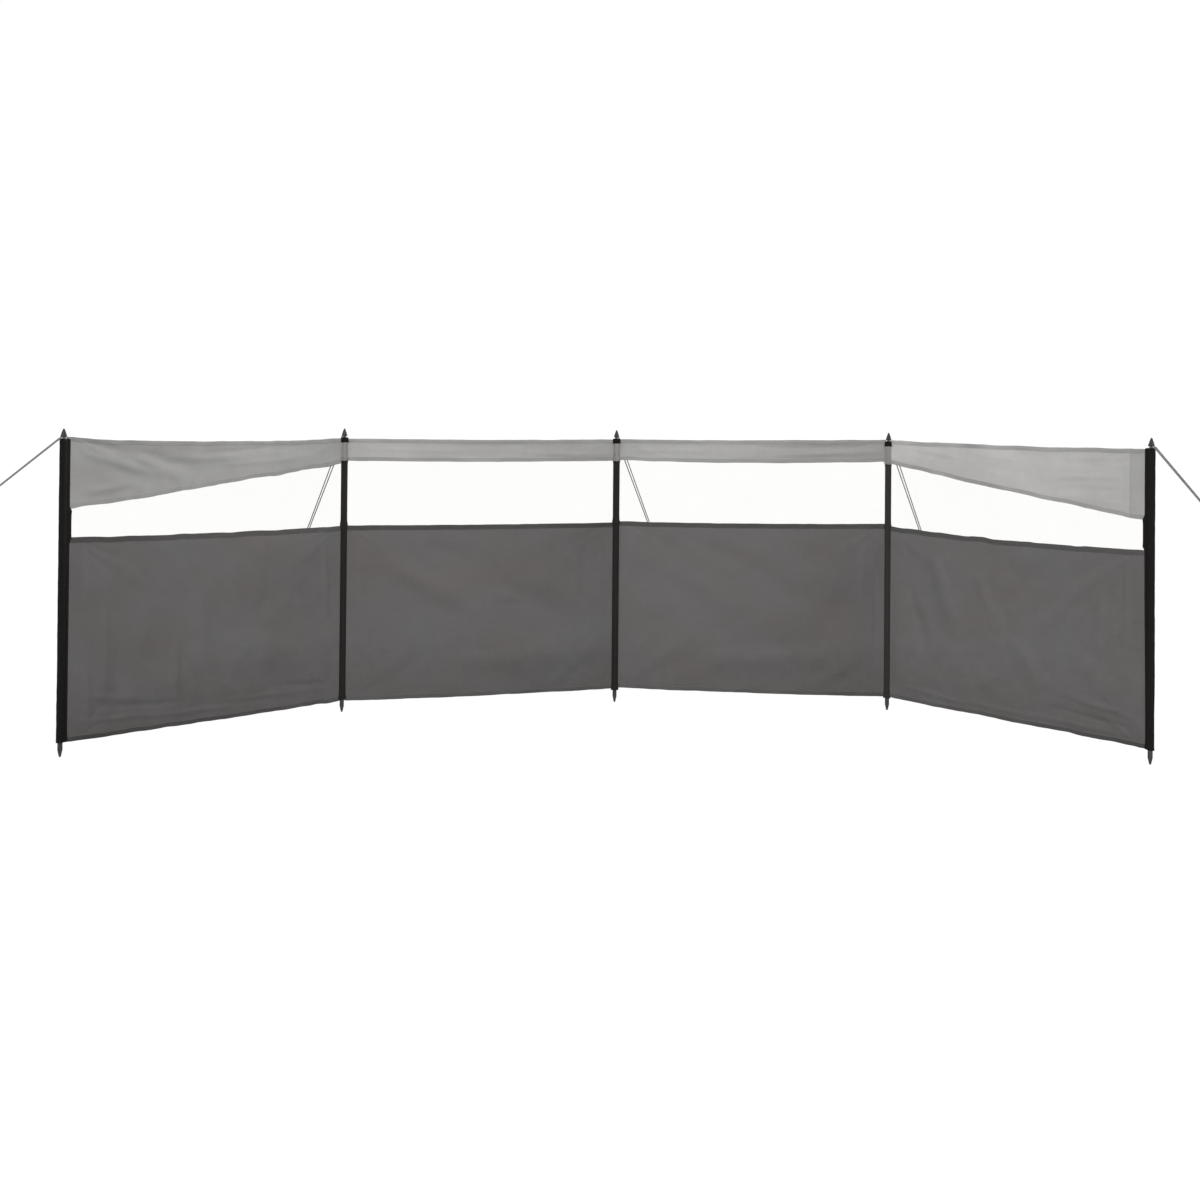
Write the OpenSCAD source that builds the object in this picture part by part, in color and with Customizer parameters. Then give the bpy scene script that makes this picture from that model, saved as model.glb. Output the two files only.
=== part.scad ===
// Four-bay beach windbreak on five poles, pitched and guyed.
// Millimetres, +Z up, ground level at z = 0, the foot of the middle pole at the origin, the front towards -Y.

/* [Cloth] */
// Distance between the centres of neighbouring poles
bay_w = 1250; // [1000:10:1600]
// Height of the cloth from bottom hem to top hem
cloth_h = 1170; // [900:5:1500]
// Height of the opaque lower panel
panel_h = 786; // [500:2:900]
// Depth of the top band at the three inner poles
band_h = 100; // [60:2:200]
// Depth of the top band at the two end poles
band_end_h = 278; // [100:2:300]
// Thickness of cloth and film as modelled
cloth_t = 1; // [0.6:0.1:2]

/* [Layout] */
// Turn of the cloth at the left inner pole, degrees
turn_left = 30; // [0:1:60]
// Turn of the cloth at the middle pole, degrees
turn_mid = 18; // [0:1:60]
// Turn of the cloth at the right inner pole, degrees
turn_right = 43; // [0:1:60]

/* [Poles] */
// Outside diameter of the pole tube
pole_d = 19; // [14:0.5:25]
// Wall of the pole tube
pole_wall = 0.8; // [0.6:0.1:2]
// Clear height of the pole below the cloth
foot_h = 56; // [40:1:120]
// Length of the drawn-down point at the foot
point_h = 26; // [20:1:60]
// Diameter of the blunt end of the point
point_d = 7; // [4:0.5:10]
// Diameter of the neck on the top cap, where the guy line loops round it
pin_d = 8; // [6:0.5:10]
// Diameter of the pointed head over the neck
head_d = 26; // [16:0.5:28]
// Height of the pointed head above the cloth
pin_h = 40; // [28:1:48]

/* [Sleeves] */
// Outside diameter of the sewn sleeve round a pole
sleeve_d = 25; // [22:0.5:28]
// Wall of the sleeve as modelled
sleeve_wall = 1.2; // [0.8:0.1:2]
// Width of the seam flange from pole centre, inner poles
flange_in = 15.5; // [14.5:0.5:30]
// Width of the seam flange from pole centre, end poles
flange_end = 32; // [18:0.5:40]
// Thickness of the seam flange
flange_t = 2.4; // [1.4:0.1:4]

/* [Guy lines] */
// Diameter of the guy line
rope_d = 5; // [3:0.5:6]
// Ground reach of the left end guy line from its pole
reach_left_end = 1500; // [700:10:2000]
// Ground reach of the right end guy line from its pole
reach_right_end = 1100; // [700:10:2000]
// Ground reach of the three guy lines at the back
reach_back = 1100; // [700:10:2000]
// Distance of the runner from the pole along the line
runner_at = 600; // [120:5:900]
// Spacing of the two holes in the runner
runner_gap = 10; // [10:1:24]
// Diameter of the peg wire
peg_d = 6; // [4:0.5:8]

/* [Hidden] */
$fn = 48;
zb = foot_h;
zt = foot_h + cloth_h;
zp = zb + panel_h;
z_in = zt - band_h;
z_end = zt - band_end_h;
z_tube = zt - 6;
z_top = zt + pin_h;
pole_r = pole_d / 2;
pole_ri = pole_r - pole_wall;
sleeve_r = sleeve_d / 2;
sleeve_ri = sleeve_r - sleeve_wall;
rope_r = rope_d / 2;
peg_r = peg_d / 2;
pin_r = pin_d / 2;
head_r = head_d / 2;
z_neck = zt + rope_d + 1.4;

// bay directions and pole positions, from the left end to the right end
a_2 = turn_mid / 2;
a_1 = a_2 + turn_left;
a_3 = -turn_mid / 2;
a_4 = a_3 - turn_right;
ang = [a_1, a_2, a_3, a_4];
function dir(a) = [cos(a), sin(a)];
q3 = [0, 0];
q2 = q3 - bay_w * dir(a_2);
q1 = q2 - bay_w * dir(a_1);
q4 = q3 + bay_w * dir(a_3);
q5 = q4 + bay_w * dir(a_4);
pole_at = [q1, q2, q3, q4, q5];

// directions of the guy lines over the ground, and their reach
guy_dir = [-144, 121, 62, 53, a_4];
guy_reach = [reach_left_end, reach_back, reach_back, reach_back, reach_right_end];

black = [0.06, 0.06, 0.065];
dark = [0.38, 0.375, 0.37];
light = [0.64, 0.64, 0.63];
film = [0.93, 0.95, 0.95, 0.35];
steel = [0.33, 0.33, 0.335];
line = [0.47, 0.46, 0.44];

// ---- places
module at_pole(k) translate([pole_at[k][0], pole_at[k][1], 0]) children();
module at_bay(k) at_pole(k) rotate([0, 0, ang[k]]) children();
// an upright plate in a bay: pts are (along the bay, height)
module plate(k, pts)
  at_bay(k) translate([0, cloth_t / 2, 0]) rotate([90, 0, 0]) linear_extrude(cloth_t) polygon(pts);

// ---- poles
module pole(k) color(steel) at_pole(k)
  rotate_extrude() polygon([
    [0, 0], [point_d / 2, 0], [pole_r, point_h], [pole_r, z_tube],
    [pole_ri, z_tube], [pole_ri, point_h + 6], [0, point_h - 6]]);

module top_pin(k) color(black) at_pole(k)
  rotate_extrude() polygon([
    [0, z_tube - 22], [pole_ri - 0.9, z_tube - 22], [pole_ri - 0.2, z_tube - 20], [pole_ri - 0.2, z_tube],
    [pole_r, z_tube], [pole_r, z_tube + 3.2], [pole_r - 0.8, z_tube + 4], [pin_r, z_tube + 4],
    [pin_r, z_neck], [head_r - 1.2, z_neck], [head_r, z_neck + 1.2], [head_r, z_neck + 3],
    [0.94 * head_r, z_neck + 5.5], [0.65 * head_r, (z_neck + z_top) / 2 + 1], [0.27 * head_r, z_top - 2.6], [0.17 * head_r, z_top - 0.7], [0.06 * head_r, z_top], [0, z_top]]);

// ---- sleeves: a sewn tube round the pole with seam flanges towards the bays
module sleeve_outline(flanges)
  union() {
    circle(r = sleeve_r);
    for (f = flanges) rotate([0, 0, f[0]]) translate([0, -flange_t / 2]) square([f[1], flange_t]);
  }
module sleeve_body(z0, z1, flanges, closed)
  difference() {
    translate([0, 0, z0]) linear_extrude(z1 - z0) sleeve_outline(flanges);
    translate([0, 0, z0 - 1])
      cylinder(r = sleeve_ri, h = z1 - z0 + 1 - (closed ? 1.5 : -1));
    if (closed) translate([0, 0, z1 - 5]) cylinder(r = pin_r + 0.4, h = 10);
  }

module end_sleeve(k, a) color(black) at_pole(k)
  sleeve_body(zb, zt, [[a, flange_end]], true);

module inner_sleeve(k) color(black) at_pole(k)
  sleeve_body(zb, z_in, [[ang[k - 1] + 180, flange_in], [ang[k], flange_in]], false);

// the pole pocket of the top band at an inner pole
module pocket(k) at_pole(k)
  sleeve_body(z_in, zt, [[ang[k - 1] + 180, flange_in], [ang[k], flange_in]], true);

// ---- cloth
seam_gap = 0.1;
function x_from(k) = (k == 0 ? flange_end : flange_in) + seam_gap;
function x_to(k) = bay_w - (k == 3 ? flange_end : flange_in) - seam_gap;
// height of the lower edge of the top band at either side of a bay
function z_l(k) = k == 0 ? z_end : z_in;
function z_r(k) = k == 3 ? z_end : z_in;

module panel(k) color(dark)
  plate(k, [[x_from(k), zb], [x_to(k), zb], [x_to(k), zp], [x_from(k), zp]]);

module window(k) color(film)
  plate(k, [[x_from(k), zp], [x_to(k), zp], [x_to(k), z_r(k)], [x_from(k), z_l(k)]]);

// lap_l, lap_r: how far a tongue of the band runs on into its own pocket at either side
module band(k, lap_l, lap_r)
  plate(k, concat(
    [[x_from(k), zt]],
    lap_l > 0 ? [[x_from(k), zt - 2], [x_from(k) - lap_l, zt - 2], [x_from(k) - lap_l, z_l(k) + 2], [x_from(k), z_l(k) + 2]] : [],
    [[x_from(k), z_l(k)], [x_to(k), z_r(k)]],
    lap_r > 0 ? [[x_to(k), z_r(k) + 2], [x_to(k) + lap_r, z_r(k) + 2], [x_to(k) + lap_r, zt - 2], [x_to(k), zt - 2]] : [],
    [[x_to(k), zt]]));

// ---- swept tubes
function unit(v) = v / norm(v);
function tangents(p) = [for (i = [0 : len(p) - 1])
  i == 0 ? unit(p[1] - p[0]) : i == len(p) - 1 ? unit(p[i] - p[i - 1])
  : unit(unit(p[i + 1] - p[i]) + unit(p[i] - p[i - 1]))];
function across(v, t) = unit(v - (v * t) * t);
function carried(t, i, n) = i == len(t) ? [] : let (m = across(n, t[i])) concat([m], carried(t, i + 1, m));
function to_ground(v, t) = v - t * (v[2] / t[2]);
function rings(p, r, n, start, grounded) = let (t = tangents(p), m = carried(t, 0, start))
  [for (i = [0 : len(p) - 1], j = [0 : n - 1])
    let (v = p[i] + r * (cos(360 * j / n) * m[i] + sin(360 * j / n) * cross(t[i], m[i])))
    (grounded && i == 0) ? to_ground(v, t[0]) : v];
function ring_faces(k, n) = [for (i = [0 : k - 2], j = [0 : n - 1])
  let (a = i * n + j, b = i * n + (j + 1) % n, c = a + n, d = b + n) each [[a, c, b], [b, c, d]]];
module tube(p, r, n, start, grounded = false)
  polyhedron(points = rings(p, r, n, start, grounded), convexity = 10,
    faces = concat(ring_faces(len(p), n), [[for (j = [0 : n - 1]) j]],
      [[for (j = [n - 1 : -1 : 0]) (len(p) - 1) * n + j]]));

// ---- guy lines: local frame at the pole, x over the ground along the line
z_peg = 22;
rim = rope_r + 0.6;
function fall_0(R) = atan2(zt - z_peg, R - sleeve_r);
function fall(R) = let (b = fall_0(R)) atan2(zt + rim * cos(b) - z_peg, R - sleeve_r - rim * sin(b));
function rim_at(b, y) = [sleeve_r + rim * sin(b), y, zt + rim * cos(b)];
function down(b) = [cos(b), 0, -sin(b)];
function up(b) = [sin(b), 0, cos(b)];
function on_line(R, s, y) = rim_at(fall(R), 0) + down(fall(R)) * s + [0, y, 0];
function line_len(R) = norm([R, 0, z_peg] - rim_at(fall(R), 0));
loop_r = pin_r + rope_r + 0.3;
eye_r = peg_r + rope_r + 0.3;
lay = rope_r + 0.3;
runner_r = rope_r + 3;
function guy_path(R) = let (b = fall(R), L = line_len(R), h = runner_gap / 2, s = runner_at) concat(
  [on_line(R, s + 10, h), on_line(R, s - 8, h), on_line(R, 40, loop_r + 0.3)],
  [for (w = [1 : -0.25 : 0]) rim_at(b * w, loop_r)],
  [for (w = [90 : 30 : 270]) [loop_r * cos(w), loop_r * sin(w), zt + rim]],
  [for (w = [0 : 0.25 : 1]) rim_at(b * w, -loop_r)],
  [on_line(R, 40, -loop_r - 0.3), on_line(R, s - 8, -h), on_line(R, s + 10, -h), on_line(R, s + 90, 0)],
  [on_line(R, L - 110, 0), on_line(R, L - 64, lay), on_line(R, L - 18, eye_r - 0.5)],
  [for (w = [90 : -30 : -90]) on_line(R, L + eye_r * cos(w), eye_r * sin(w))],
  [on_line(R, L - 18, 0.5 - eye_r), on_line(R, L - 60, -lay)]);
function peg_path(R) = let (b = fall(R), d = down(b), n = up(b), o = [R, 0, z_peg]) concat(
  [o - n * (z_peg / cos(b)), o + n * 6],
  [for (w = [180 : -30 : 0]) o + n * 12 + d * 8 + (d * cos(w) + n * sin(w)) * 8],
  [o + n * 5 + d * 16]);

module at_guy(k) at_pole(k) rotate([0, 0, guy_dir[k]]) children();
module guy(k) color(line) at_guy(k) tube(guy_path(guy_reach[k]), rope_r, 8, [0, 0, 1]);
module peg(k) color(steel) at_guy(k) tube(peg_path(guy_reach[k]), peg_r, 10, [0, 1, 0], true);
module runner(k) color(black) at_guy(k)
  translate(on_line(guy_reach[k], runner_at, 0)) rotate([0, 90 + fall(guy_reach[k]), 0])
    translate([0, 0, -3]) difference() {
      union() {
        rotate([90, 0, 0]) translate([0, 0, -runner_gap / 2]) linear_extrude(runner_gap) polygon([
          [1 - runner_r, 0], [runner_r - 1, 0], [runner_r, 1], [runner_r, 5],
          [runner_r - 1, 6], [1 - runner_r, 6], [-runner_r, 5], [-runner_r, 1]]);
        for (y = [-1, 1]) translate([0, y * runner_gap / 2, 0]) rotate_extrude() polygon([
          [0, 0], [runner_r - 1, 0], [runner_r, 1], [runner_r, 5], [runner_r - 1, 6], [0, 6]]);
      }
      for (y = [-1, 1]) translate([0, y * runner_gap / 2, -1]) cylinder(r = rope_r + 0.4, h = 8);
    }

// ---- sub-parts
module left_end_pole() pole(0);
module left_inner_pole() pole(1);
module middle_pole() pole(2);
module right_inner_pole() pole(3);
module right_end_pole() pole(4);

module left_end_pin() top_pin(0);
module left_inner_pin() top_pin(1);
module middle_pin() top_pin(2);
module right_inner_pin() top_pin(3);
module right_end_pin() top_pin(4);

module left_end_sleeve() end_sleeve(0, ang[0]);
module left_inner_sleeve() inner_sleeve(1);
module middle_sleeve() inner_sleeve(2);
module right_inner_sleeve() inner_sleeve(3);
module right_end_sleeve() end_sleeve(4, ang[3] + 180);

module left_end_panel() panel(0);
module left_mid_panel() panel(1);
module right_mid_panel() panel(2);
module right_end_panel() panel(3);

module left_end_window() window(0);
module left_mid_window() window(1);
module right_mid_window() window(2);
module right_end_window() window(3);

module left_end_band() color(light) union() { band(0, 0, 2); pocket(1); }
module left_mid_band() color(light) union() { band(1, 0, 2); pocket(2); }
module right_mid_band() color(light) band(2, 0, 0);
module right_end_band() color(light) union() { band(3, 2, 0); pocket(3); }

module left_end_guy() guy(0);
module left_inner_guy() guy(1);
module middle_guy() guy(2);
module right_inner_guy() guy(3);
module right_end_guy() guy(4);

module left_end_runner() runner(0);
module left_inner_runner() runner(1);
module middle_runner() runner(2);
module right_inner_runner() runner(3);
module right_end_runner() runner(4);

module left_end_peg() peg(0);
module left_inner_peg() peg(1);
module middle_peg() peg(2);
module right_inner_peg() peg(3);
module right_end_peg() peg(4);

left_end_pole();
left_inner_pole();
middle_pole();
right_inner_pole();
right_end_pole();
left_end_pin();
left_inner_pin();
middle_pin();
right_inner_pin();
right_end_pin();
left_end_sleeve();
left_inner_sleeve();
middle_sleeve();
right_inner_sleeve();
right_end_sleeve();
left_end_panel();
left_mid_panel();
right_mid_panel();
right_end_panel();
left_end_window();
left_mid_window();
right_mid_window();
right_end_window();
left_end_band();
left_mid_band();
right_mid_band();
right_end_band();
left_end_guy();
left_inner_guy();
middle_guy();
right_inner_guy();
right_end_guy();
left_end_runner();
left_inner_runner();
middle_runner();
right_inner_runner();
right_end_runner();
left_end_peg();
left_inner_peg();
middle_peg();
right_inner_peg();
right_end_peg();
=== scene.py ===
import math

import bpy
import numpy as np
from mathutils import Matrix, Vector


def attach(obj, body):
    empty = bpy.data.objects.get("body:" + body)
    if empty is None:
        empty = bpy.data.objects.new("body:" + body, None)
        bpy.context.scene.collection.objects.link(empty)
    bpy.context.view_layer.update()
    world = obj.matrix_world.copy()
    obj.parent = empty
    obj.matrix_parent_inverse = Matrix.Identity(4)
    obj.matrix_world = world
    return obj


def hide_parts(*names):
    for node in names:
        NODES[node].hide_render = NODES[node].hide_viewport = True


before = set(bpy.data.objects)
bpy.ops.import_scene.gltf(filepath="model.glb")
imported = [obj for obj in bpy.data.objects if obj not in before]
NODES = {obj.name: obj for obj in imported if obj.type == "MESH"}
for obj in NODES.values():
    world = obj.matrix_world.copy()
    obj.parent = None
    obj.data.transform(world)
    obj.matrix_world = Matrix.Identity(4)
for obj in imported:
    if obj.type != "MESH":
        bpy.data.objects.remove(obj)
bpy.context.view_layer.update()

# ---------------------------------------------------------------- sizes, in metres, as in the construction
W = 1.25                                   # pole to pole
ZB, ZP, ZT = 0.056, 0.842, 1.226           # cloth bottom, panel top, cloth top
Z_IN, Z_END = 1.126, 0.948                 # lower edge of the band at inner and end poles
ANG = [39.0, 9.0, -9.0, -52.0]             # bay directions
F_IN, F_END = 0.0155, 0.032                # seam reach from the pole's axis
SLEEVE_R = 0.0125
ROPE_R = 0.0025
GUY_DIR = [-144.0, 121.0, 62.0, 53.0, -52.0]
GUY_REACH = [1.5, 1.1, 1.1, 1.1, 1.1]
Z_PEG, RIM, LOOP_R, EYE_R, LAY, RUN_AT, RUN_H = 0.022, 0.0031, 0.0068, 0.0058, 0.0028, 0.600, 0.005
PEG_R = 0.003
BAYS = ["left_end", "left_mid", "right_mid", "right_end"]
POLES = ["left_end", "left_inner", "middle", "right_inner", "right_end"]
HEM, HEM_P = 0.016, 0.020                  # turned hems, and the one at the top of the panels
CLOTH_T = 0.0004                           # half thickness of cloth
FILM_T = 0.00018


def rad(d):
    return d * math.pi / 180.0


def bay_dirs():
    out = []
    for a in ANG:
        c, s = math.cos(rad(a)), math.sin(rad(a))
        out.append((np.array([c, s, 0.0]), np.array([s, -c, 0.0])))
    return out


EU = bay_dirs()                            # along the bay, and its front normal
P3 = np.zeros(3)
P2 = P3 - EU[1][0] * W
P1 = P2 - EU[0][0] * W
P4 = P3 + EU[2][0] * W
P5 = P4 + EU[3][0] * W
POLE = [P1, P2, P3, P4, P5]
U0 = [F_END, F_IN, F_IN, F_IN]             # where the cloth of a bay leaves its left seam
U1 = [W - F_IN, W - F_IN, W - F_IN, W - F_END]


def z_low(b, u):
    """Lower edge of the top band."""
    if b == 0:
        t = np.clip((u - U0[0]) / (U1[0] - U0[0]), 0, 1)
        return Z_END + (Z_IN - Z_END) * t
    if b == 3:
        t = np.clip((u - U0[3]) / (U1[3] - U0[3]), 0, 1)
        return Z_IN + (Z_END - Z_IN) * t
    return np.full_like(np.asarray(u, float), Z_IN)


# ---------------------------------------------------------------- smooth noise, the same each run
def _hash(i, j, k):
    n = (i * 374761393 + j * 668265263 + k * 974711) & 0xFFFFFFFF
    n = ((n ^ (n >> 13)) * 1274126177) & 0xFFFFFFFF
    n = n ^ (n >> 16)
    return n / 4294967295.0 * 2.0 - 1.0


def noise2(x, y, seed=0):
    x, y = np.broadcast_arrays(np.asarray(x, float), np.asarray(y, float))
    xi, yi = np.floor(x).astype(np.int64), np.floor(y).astype(np.int64)
    fx, fy = x - xi, y - yi
    fx, fy = fx * fx * fx * (fx * (fx * 6 - 15) + 10), fy * fy * fy * (fy * (fy * 6 - 15) + 10)
    a, b = _hash(xi, yi, seed), _hash(xi + 1, yi, seed)
    c, d = _hash(xi, yi + 1, seed), _hash(xi + 1, yi + 1, seed)
    return (a + (b - a) * fx) * (1 - fy) + (c + (d - c) * fx) * fy


def fbm(x, y, seed=0, octaves=3):
    total, amp = 0.0, 1.0
    for o in range(octaves):
        total = total + amp * noise2(x * 2 ** o + 17.3 * o, y * 2 ** o - 9.1 * o, seed + 31 * o)
        amp *= 0.5
    return total


def smooth(a, b, x):
    t = np.clip((np.asarray(x, float) - a) / (b - a), 0, 1)
    return t * t * (3 - 2 * t)


# ---------------------------------------------------------------- how the pitched cloth hangs
# levels against the plain cut, for the bottom, the panel's top, the band's lower edge and the top:
# at the left side, what the middle of the span adds, and at the right side
LEVEL = [
    ((-0.002, -0.001, -0.005), (0.001, -0.005, -0.0125), (0.008, -0.0025, -0.015), (0.000, -0.013, -0.005)),
    ((-0.006, -0.004, 0.008), (-0.0115, -0.001, -0.008), (-0.003, -0.0045, -0.001), (-0.007, -0.0025, -0.005)),
    ((0.012, -0.003, 0.0063), (-0.002, -0.0035, 0.0063), (0.002, -0.009, 0.009), (-0.003, -0.0035, 0.007)),
    ((0.0065, 0.0027, 0.0016), (-0.0026, -0.0113, -0.0155), (0.000, -0.0035, -0.001), (0.0054, -0.0055, -0.005)),
]
# how far those lines wander up and down between the stitches that hold them
WANDER = [
    (0.0026, 0.0016, 0.0042, 0.0016),
    (0.0012, 0.0008, 0.0012, 0.0009),
    (0.0012, 0.0008, 0.0014, 0.0009),
    (0.0026, 0.0026, 0.0026, 0.0014),
]
BELLY = [0.020, 0.022, 0.020, 0.018]

# folds: from (u, z) to (u, z), half width, height (towards the front)
FOLDS = [
    [
        (0.080, 0.83, 0.082, 0.48, 0.014, 0.0056),
        (0.100, 0.34, 0.104, 0.10, 0.014, 0.0048),
        (0.160, 0.68, 0.165, 0.20, 0.022, 0.0076),
        (0.225, 0.58, 0.215, 0.12, 0.022, -0.0044),
        (0.318, 0.62, 0.322, 0.28, 0.034, 0.0060),
        (0.452, 0.42, 0.456, 0.08, 0.022, 0.0074),
        (0.575, 0.64, 0.560, 0.26, 0.050, 0.0076),
        (0.745, 0.82, 0.750, 0.60, 0.030, 0.0040),
        (0.880, 0.78, 0.860, 0.46, 0.034, -0.0034),
        (0.500, 0.34, 1.210, 0.26, 0.095, 0.0105),
        (0.050, 0.130, 0.430, 0.112, 0.0105, 0.0046),
        (0.110, 0.176, 0.520, 0.150, 0.0120, -0.0042),
        (0.330, 0.112, 0.780, 0.101, 0.0100, 0.0040),
        (0.620, 0.140, 1.080, 0.118, 0.0105, 0.0038),
        (0.060, 0.222, 0.340, 0.190, 0.0125, 0.0038),
        (0.860, 0.170, 1.200, 0.140, 0.0115, -0.0036),
        (0.930, 0.34, 1.190, 0.11, 0.030, 0.0034),
        (0.980, 0.60, 1.190, 0.42, 0.035, -0.0034),
        (1.150, 0.80, 1.165, 0.40, 0.016, 0.0026),
        (0.060, 1.215, 0.560, 1.115, 0.022, -0.0073),
        (0.070, 1.170, 0.420, 1.075, 0.018, 0.0063),
        (0.200, 1.205, 0.520, 1.060, 0.026, 0.0076),
        (0.500, 1.170, 1.120, 1.205, 0.016, -0.0053),
        (0.300, 1.150, 0.820, 1.160, 0.020, 0.0049),
        (0.640, 1.120, 1.100, 1.160, 0.014, 0.0043),
        (0.050, 1.010, 0.330, 1.060, 0.014, 0.0043),
        (0.050, 0.970, 0.260, 1.020, 0.012, -0.0036),
    ],
    [
        (0.110, 0.74, 0.640, 0.42, 0.050, 0.0076),
        (0.300, 0.80, 0.760, 0.60, 0.045, -0.0030),
        (0.640, 0.62, 1.120, 0.34, 0.060, -0.0046),
        (0.730, 0.56, 0.740, 0.48, 0.045, 0.0040),
        (0.420, 0.23, 1.230, 0.25, 0.060, 0.0075),
        (0.060, 0.10, 0.330, 0.32, 0.030, 0.0036),
        (0.950, 0.10, 1.180, 0.30, 0.030, 0.0036),
        (1.120, 0.82, 1.080, 0.44, 0.024, -0.0034),
        (1.180, 0.78, 1.185, 0.20, 0.014, 0.0020),
        (0.075, 0.80, 0.085, 0.30, 0.016, -0.0024),
        (0.780, 1.168, 1.220, 1.150, 0.012, 0.0049),
        (0.060, 1.180, 0.700, 1.172, 0.012, 0.0036),
        (0.300, 1.200, 0.980, 1.196, 0.010, -0.0030),
    ],
    [
        (0.090, 0.72, 0.740, 0.37, 0.058, 0.0052),
        (0.280, 0.80, 0.720, 0.62, 0.045, -0.0026),
        (0.600, 0.66, 1.160, 0.36, 0.060, -0.0044),
        (0.380, 0.22, 1.230, 0.24, 0.060, 0.0075),
        (0.080, 0.12, 0.360, 0.30, 0.034, 0.0036),
        (0.880, 0.09, 1.170, 0.24, 0.030, 0.0036),
        (1.150, 0.80, 1.120, 0.40, 0.022, 0.0032),
        (1.200, 0.74, 1.195, 0.20, 0.014, -0.0020),
        (0.070, 0.80, 0.078, 0.42, 0.016, 0.0024),
        (0.740, 1.160, 1.220, 1.172, 0.012, 0.0053),
        (0.600, 1.196, 1.200, 1.190, 0.010, -0.0040),
        (0.060, 1.172, 0.520, 1.180, 0.012, 0.0036),
    ],
    [
        (1.060, 0.75, 0.760, 0.46, 0.030, 0.0056),
        (1.120, 0.70, 0.860, 0.38, 0.026, -0.0046),
        (1.045, 0.72, 1.030, 0.38, 0.022, 0.0044),
        (1.150, 0.83, 1.150, 0.44, 0.012, 0.0030),
        (1.190, 0.60, 0.960, 0.30, 0.024, 0.0042),
        (1.195, 0.46, 1.020, 0.22, 0.022, -0.0036),
        (0.900, 0.82, 0.560, 0.50, 0.036, -0.0052),
        (0.480, 0.68, 0.560, 0.50, 0.030, 0.0048),
        (0.240, 0.76, 0.400, 0.36, 0.044, 0.0062),
        (0.120, 0.60, 0.260, 0.22, 0.036, -0.0048),
        (0.640, 0.44, 0.820, 0.20, 0.040, 0.0046),
        (1.205, 0.090, 0.700, 0.106, 0.0105, 0.0044),
        (1.205, 0.124, 0.780, 0.152, 0.0120, -0.0042),
        (1.205, 0.164, 0.860, 0.218, 0.0140, 0.0040),
        (0.780, 0.092, 0.420, 0.108, 0.0105, 0.0038),
        (0.470, 0.094, 0.080, 0.124, 0.0110, 0.0038),
        (0.090, 1.205, 0.640, 1.110, 0.018, 0.0059),
        (0.110, 1.190, 0.900, 1.080, 0.016, -0.0056),
        (0.300, 1.205, 1.120, 1.120, 0.020, 0.0056),
        (1.190, 1.180, 0.760, 1.150, 0.012, -0.0049),
        (1.190, 1.120, 0.720, 1.090, 0.013, 0.0049),
        (1.190, 1.060, 0.800, 1.050, 0.012, -0.0046),
        (1.190, 1.000, 0.860, 1.030, 0.012, 0.0043),
        (1.152, 1.220, 1.152, 0.960, 0.010, 0.0040),
    ],
]


def fold(u, z, f):
    u0, z0, u1, z1, w, h = f
    du, dz = u1 - u0, z1 - z0
    length = math.hypot(du, dz)
    t = ((u - u0) * du + (z - z0) * dz) / length ** 2
    side = ((u - u0) * dz - (z - z0) * du) / length
    side = side + 0.35 * w * noise2(t * 3.1, np.full_like(t, w * 977), 5)
    grow = w * (0.75 + 0.5 * np.clip(t, 0, 1))
    along = np.clip(np.sin(math.pi * np.clip(t, 0, 1)), 0, 1) ** 0.8
    q = (side / grow) ** 2
    return h * along * (1.35 * np.exp(-q) - 0.35 * np.exp(-q / 6.0))


def fan(u, z, cu, cz, a0, a1, k, amp, reach):
    """Drag lines that spread from a corner."""
    du, dz = u - cu, z - cz
    r = np.hypot(du, dz)
    a = np.arctan2(dz, du)
    mid, half = 0.5 * (a0 + a1), 0.5 * abs(a1 - a0)
    d = np.angle(np.exp(1j * (a - mid)))
    gate = np.clip(1 - np.abs(d) / half, 0, 1)
    gate = gate * gate * (3 - 2 * gate)
    wob = 0.5 * noise2(r * 9.0, d * 2.0, k)
    return amp * gate * np.cos(k * d + wob) * (r / (r + 0.05)) * np.exp(-(r / reach) ** 1.3)


def pucker(u, d, b, seed, amp, lam, depth):
    """Ripples along a sewn hem, d from the hem."""
    ph = 2 * math.pi * (u / lam + 0.55 * noise2(u * 5.0 + 3.1 * b, np.full_like(u, seed * 1.7), seed))
    size = 0.55 + 0.45 * noise2(u * 3.3 - 4.0 * b, np.full_like(u, 0.5 + seed), seed + 9)
    return amp * size * np.sin(ph) * np.exp(-(np.abs(d) / depth))


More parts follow.
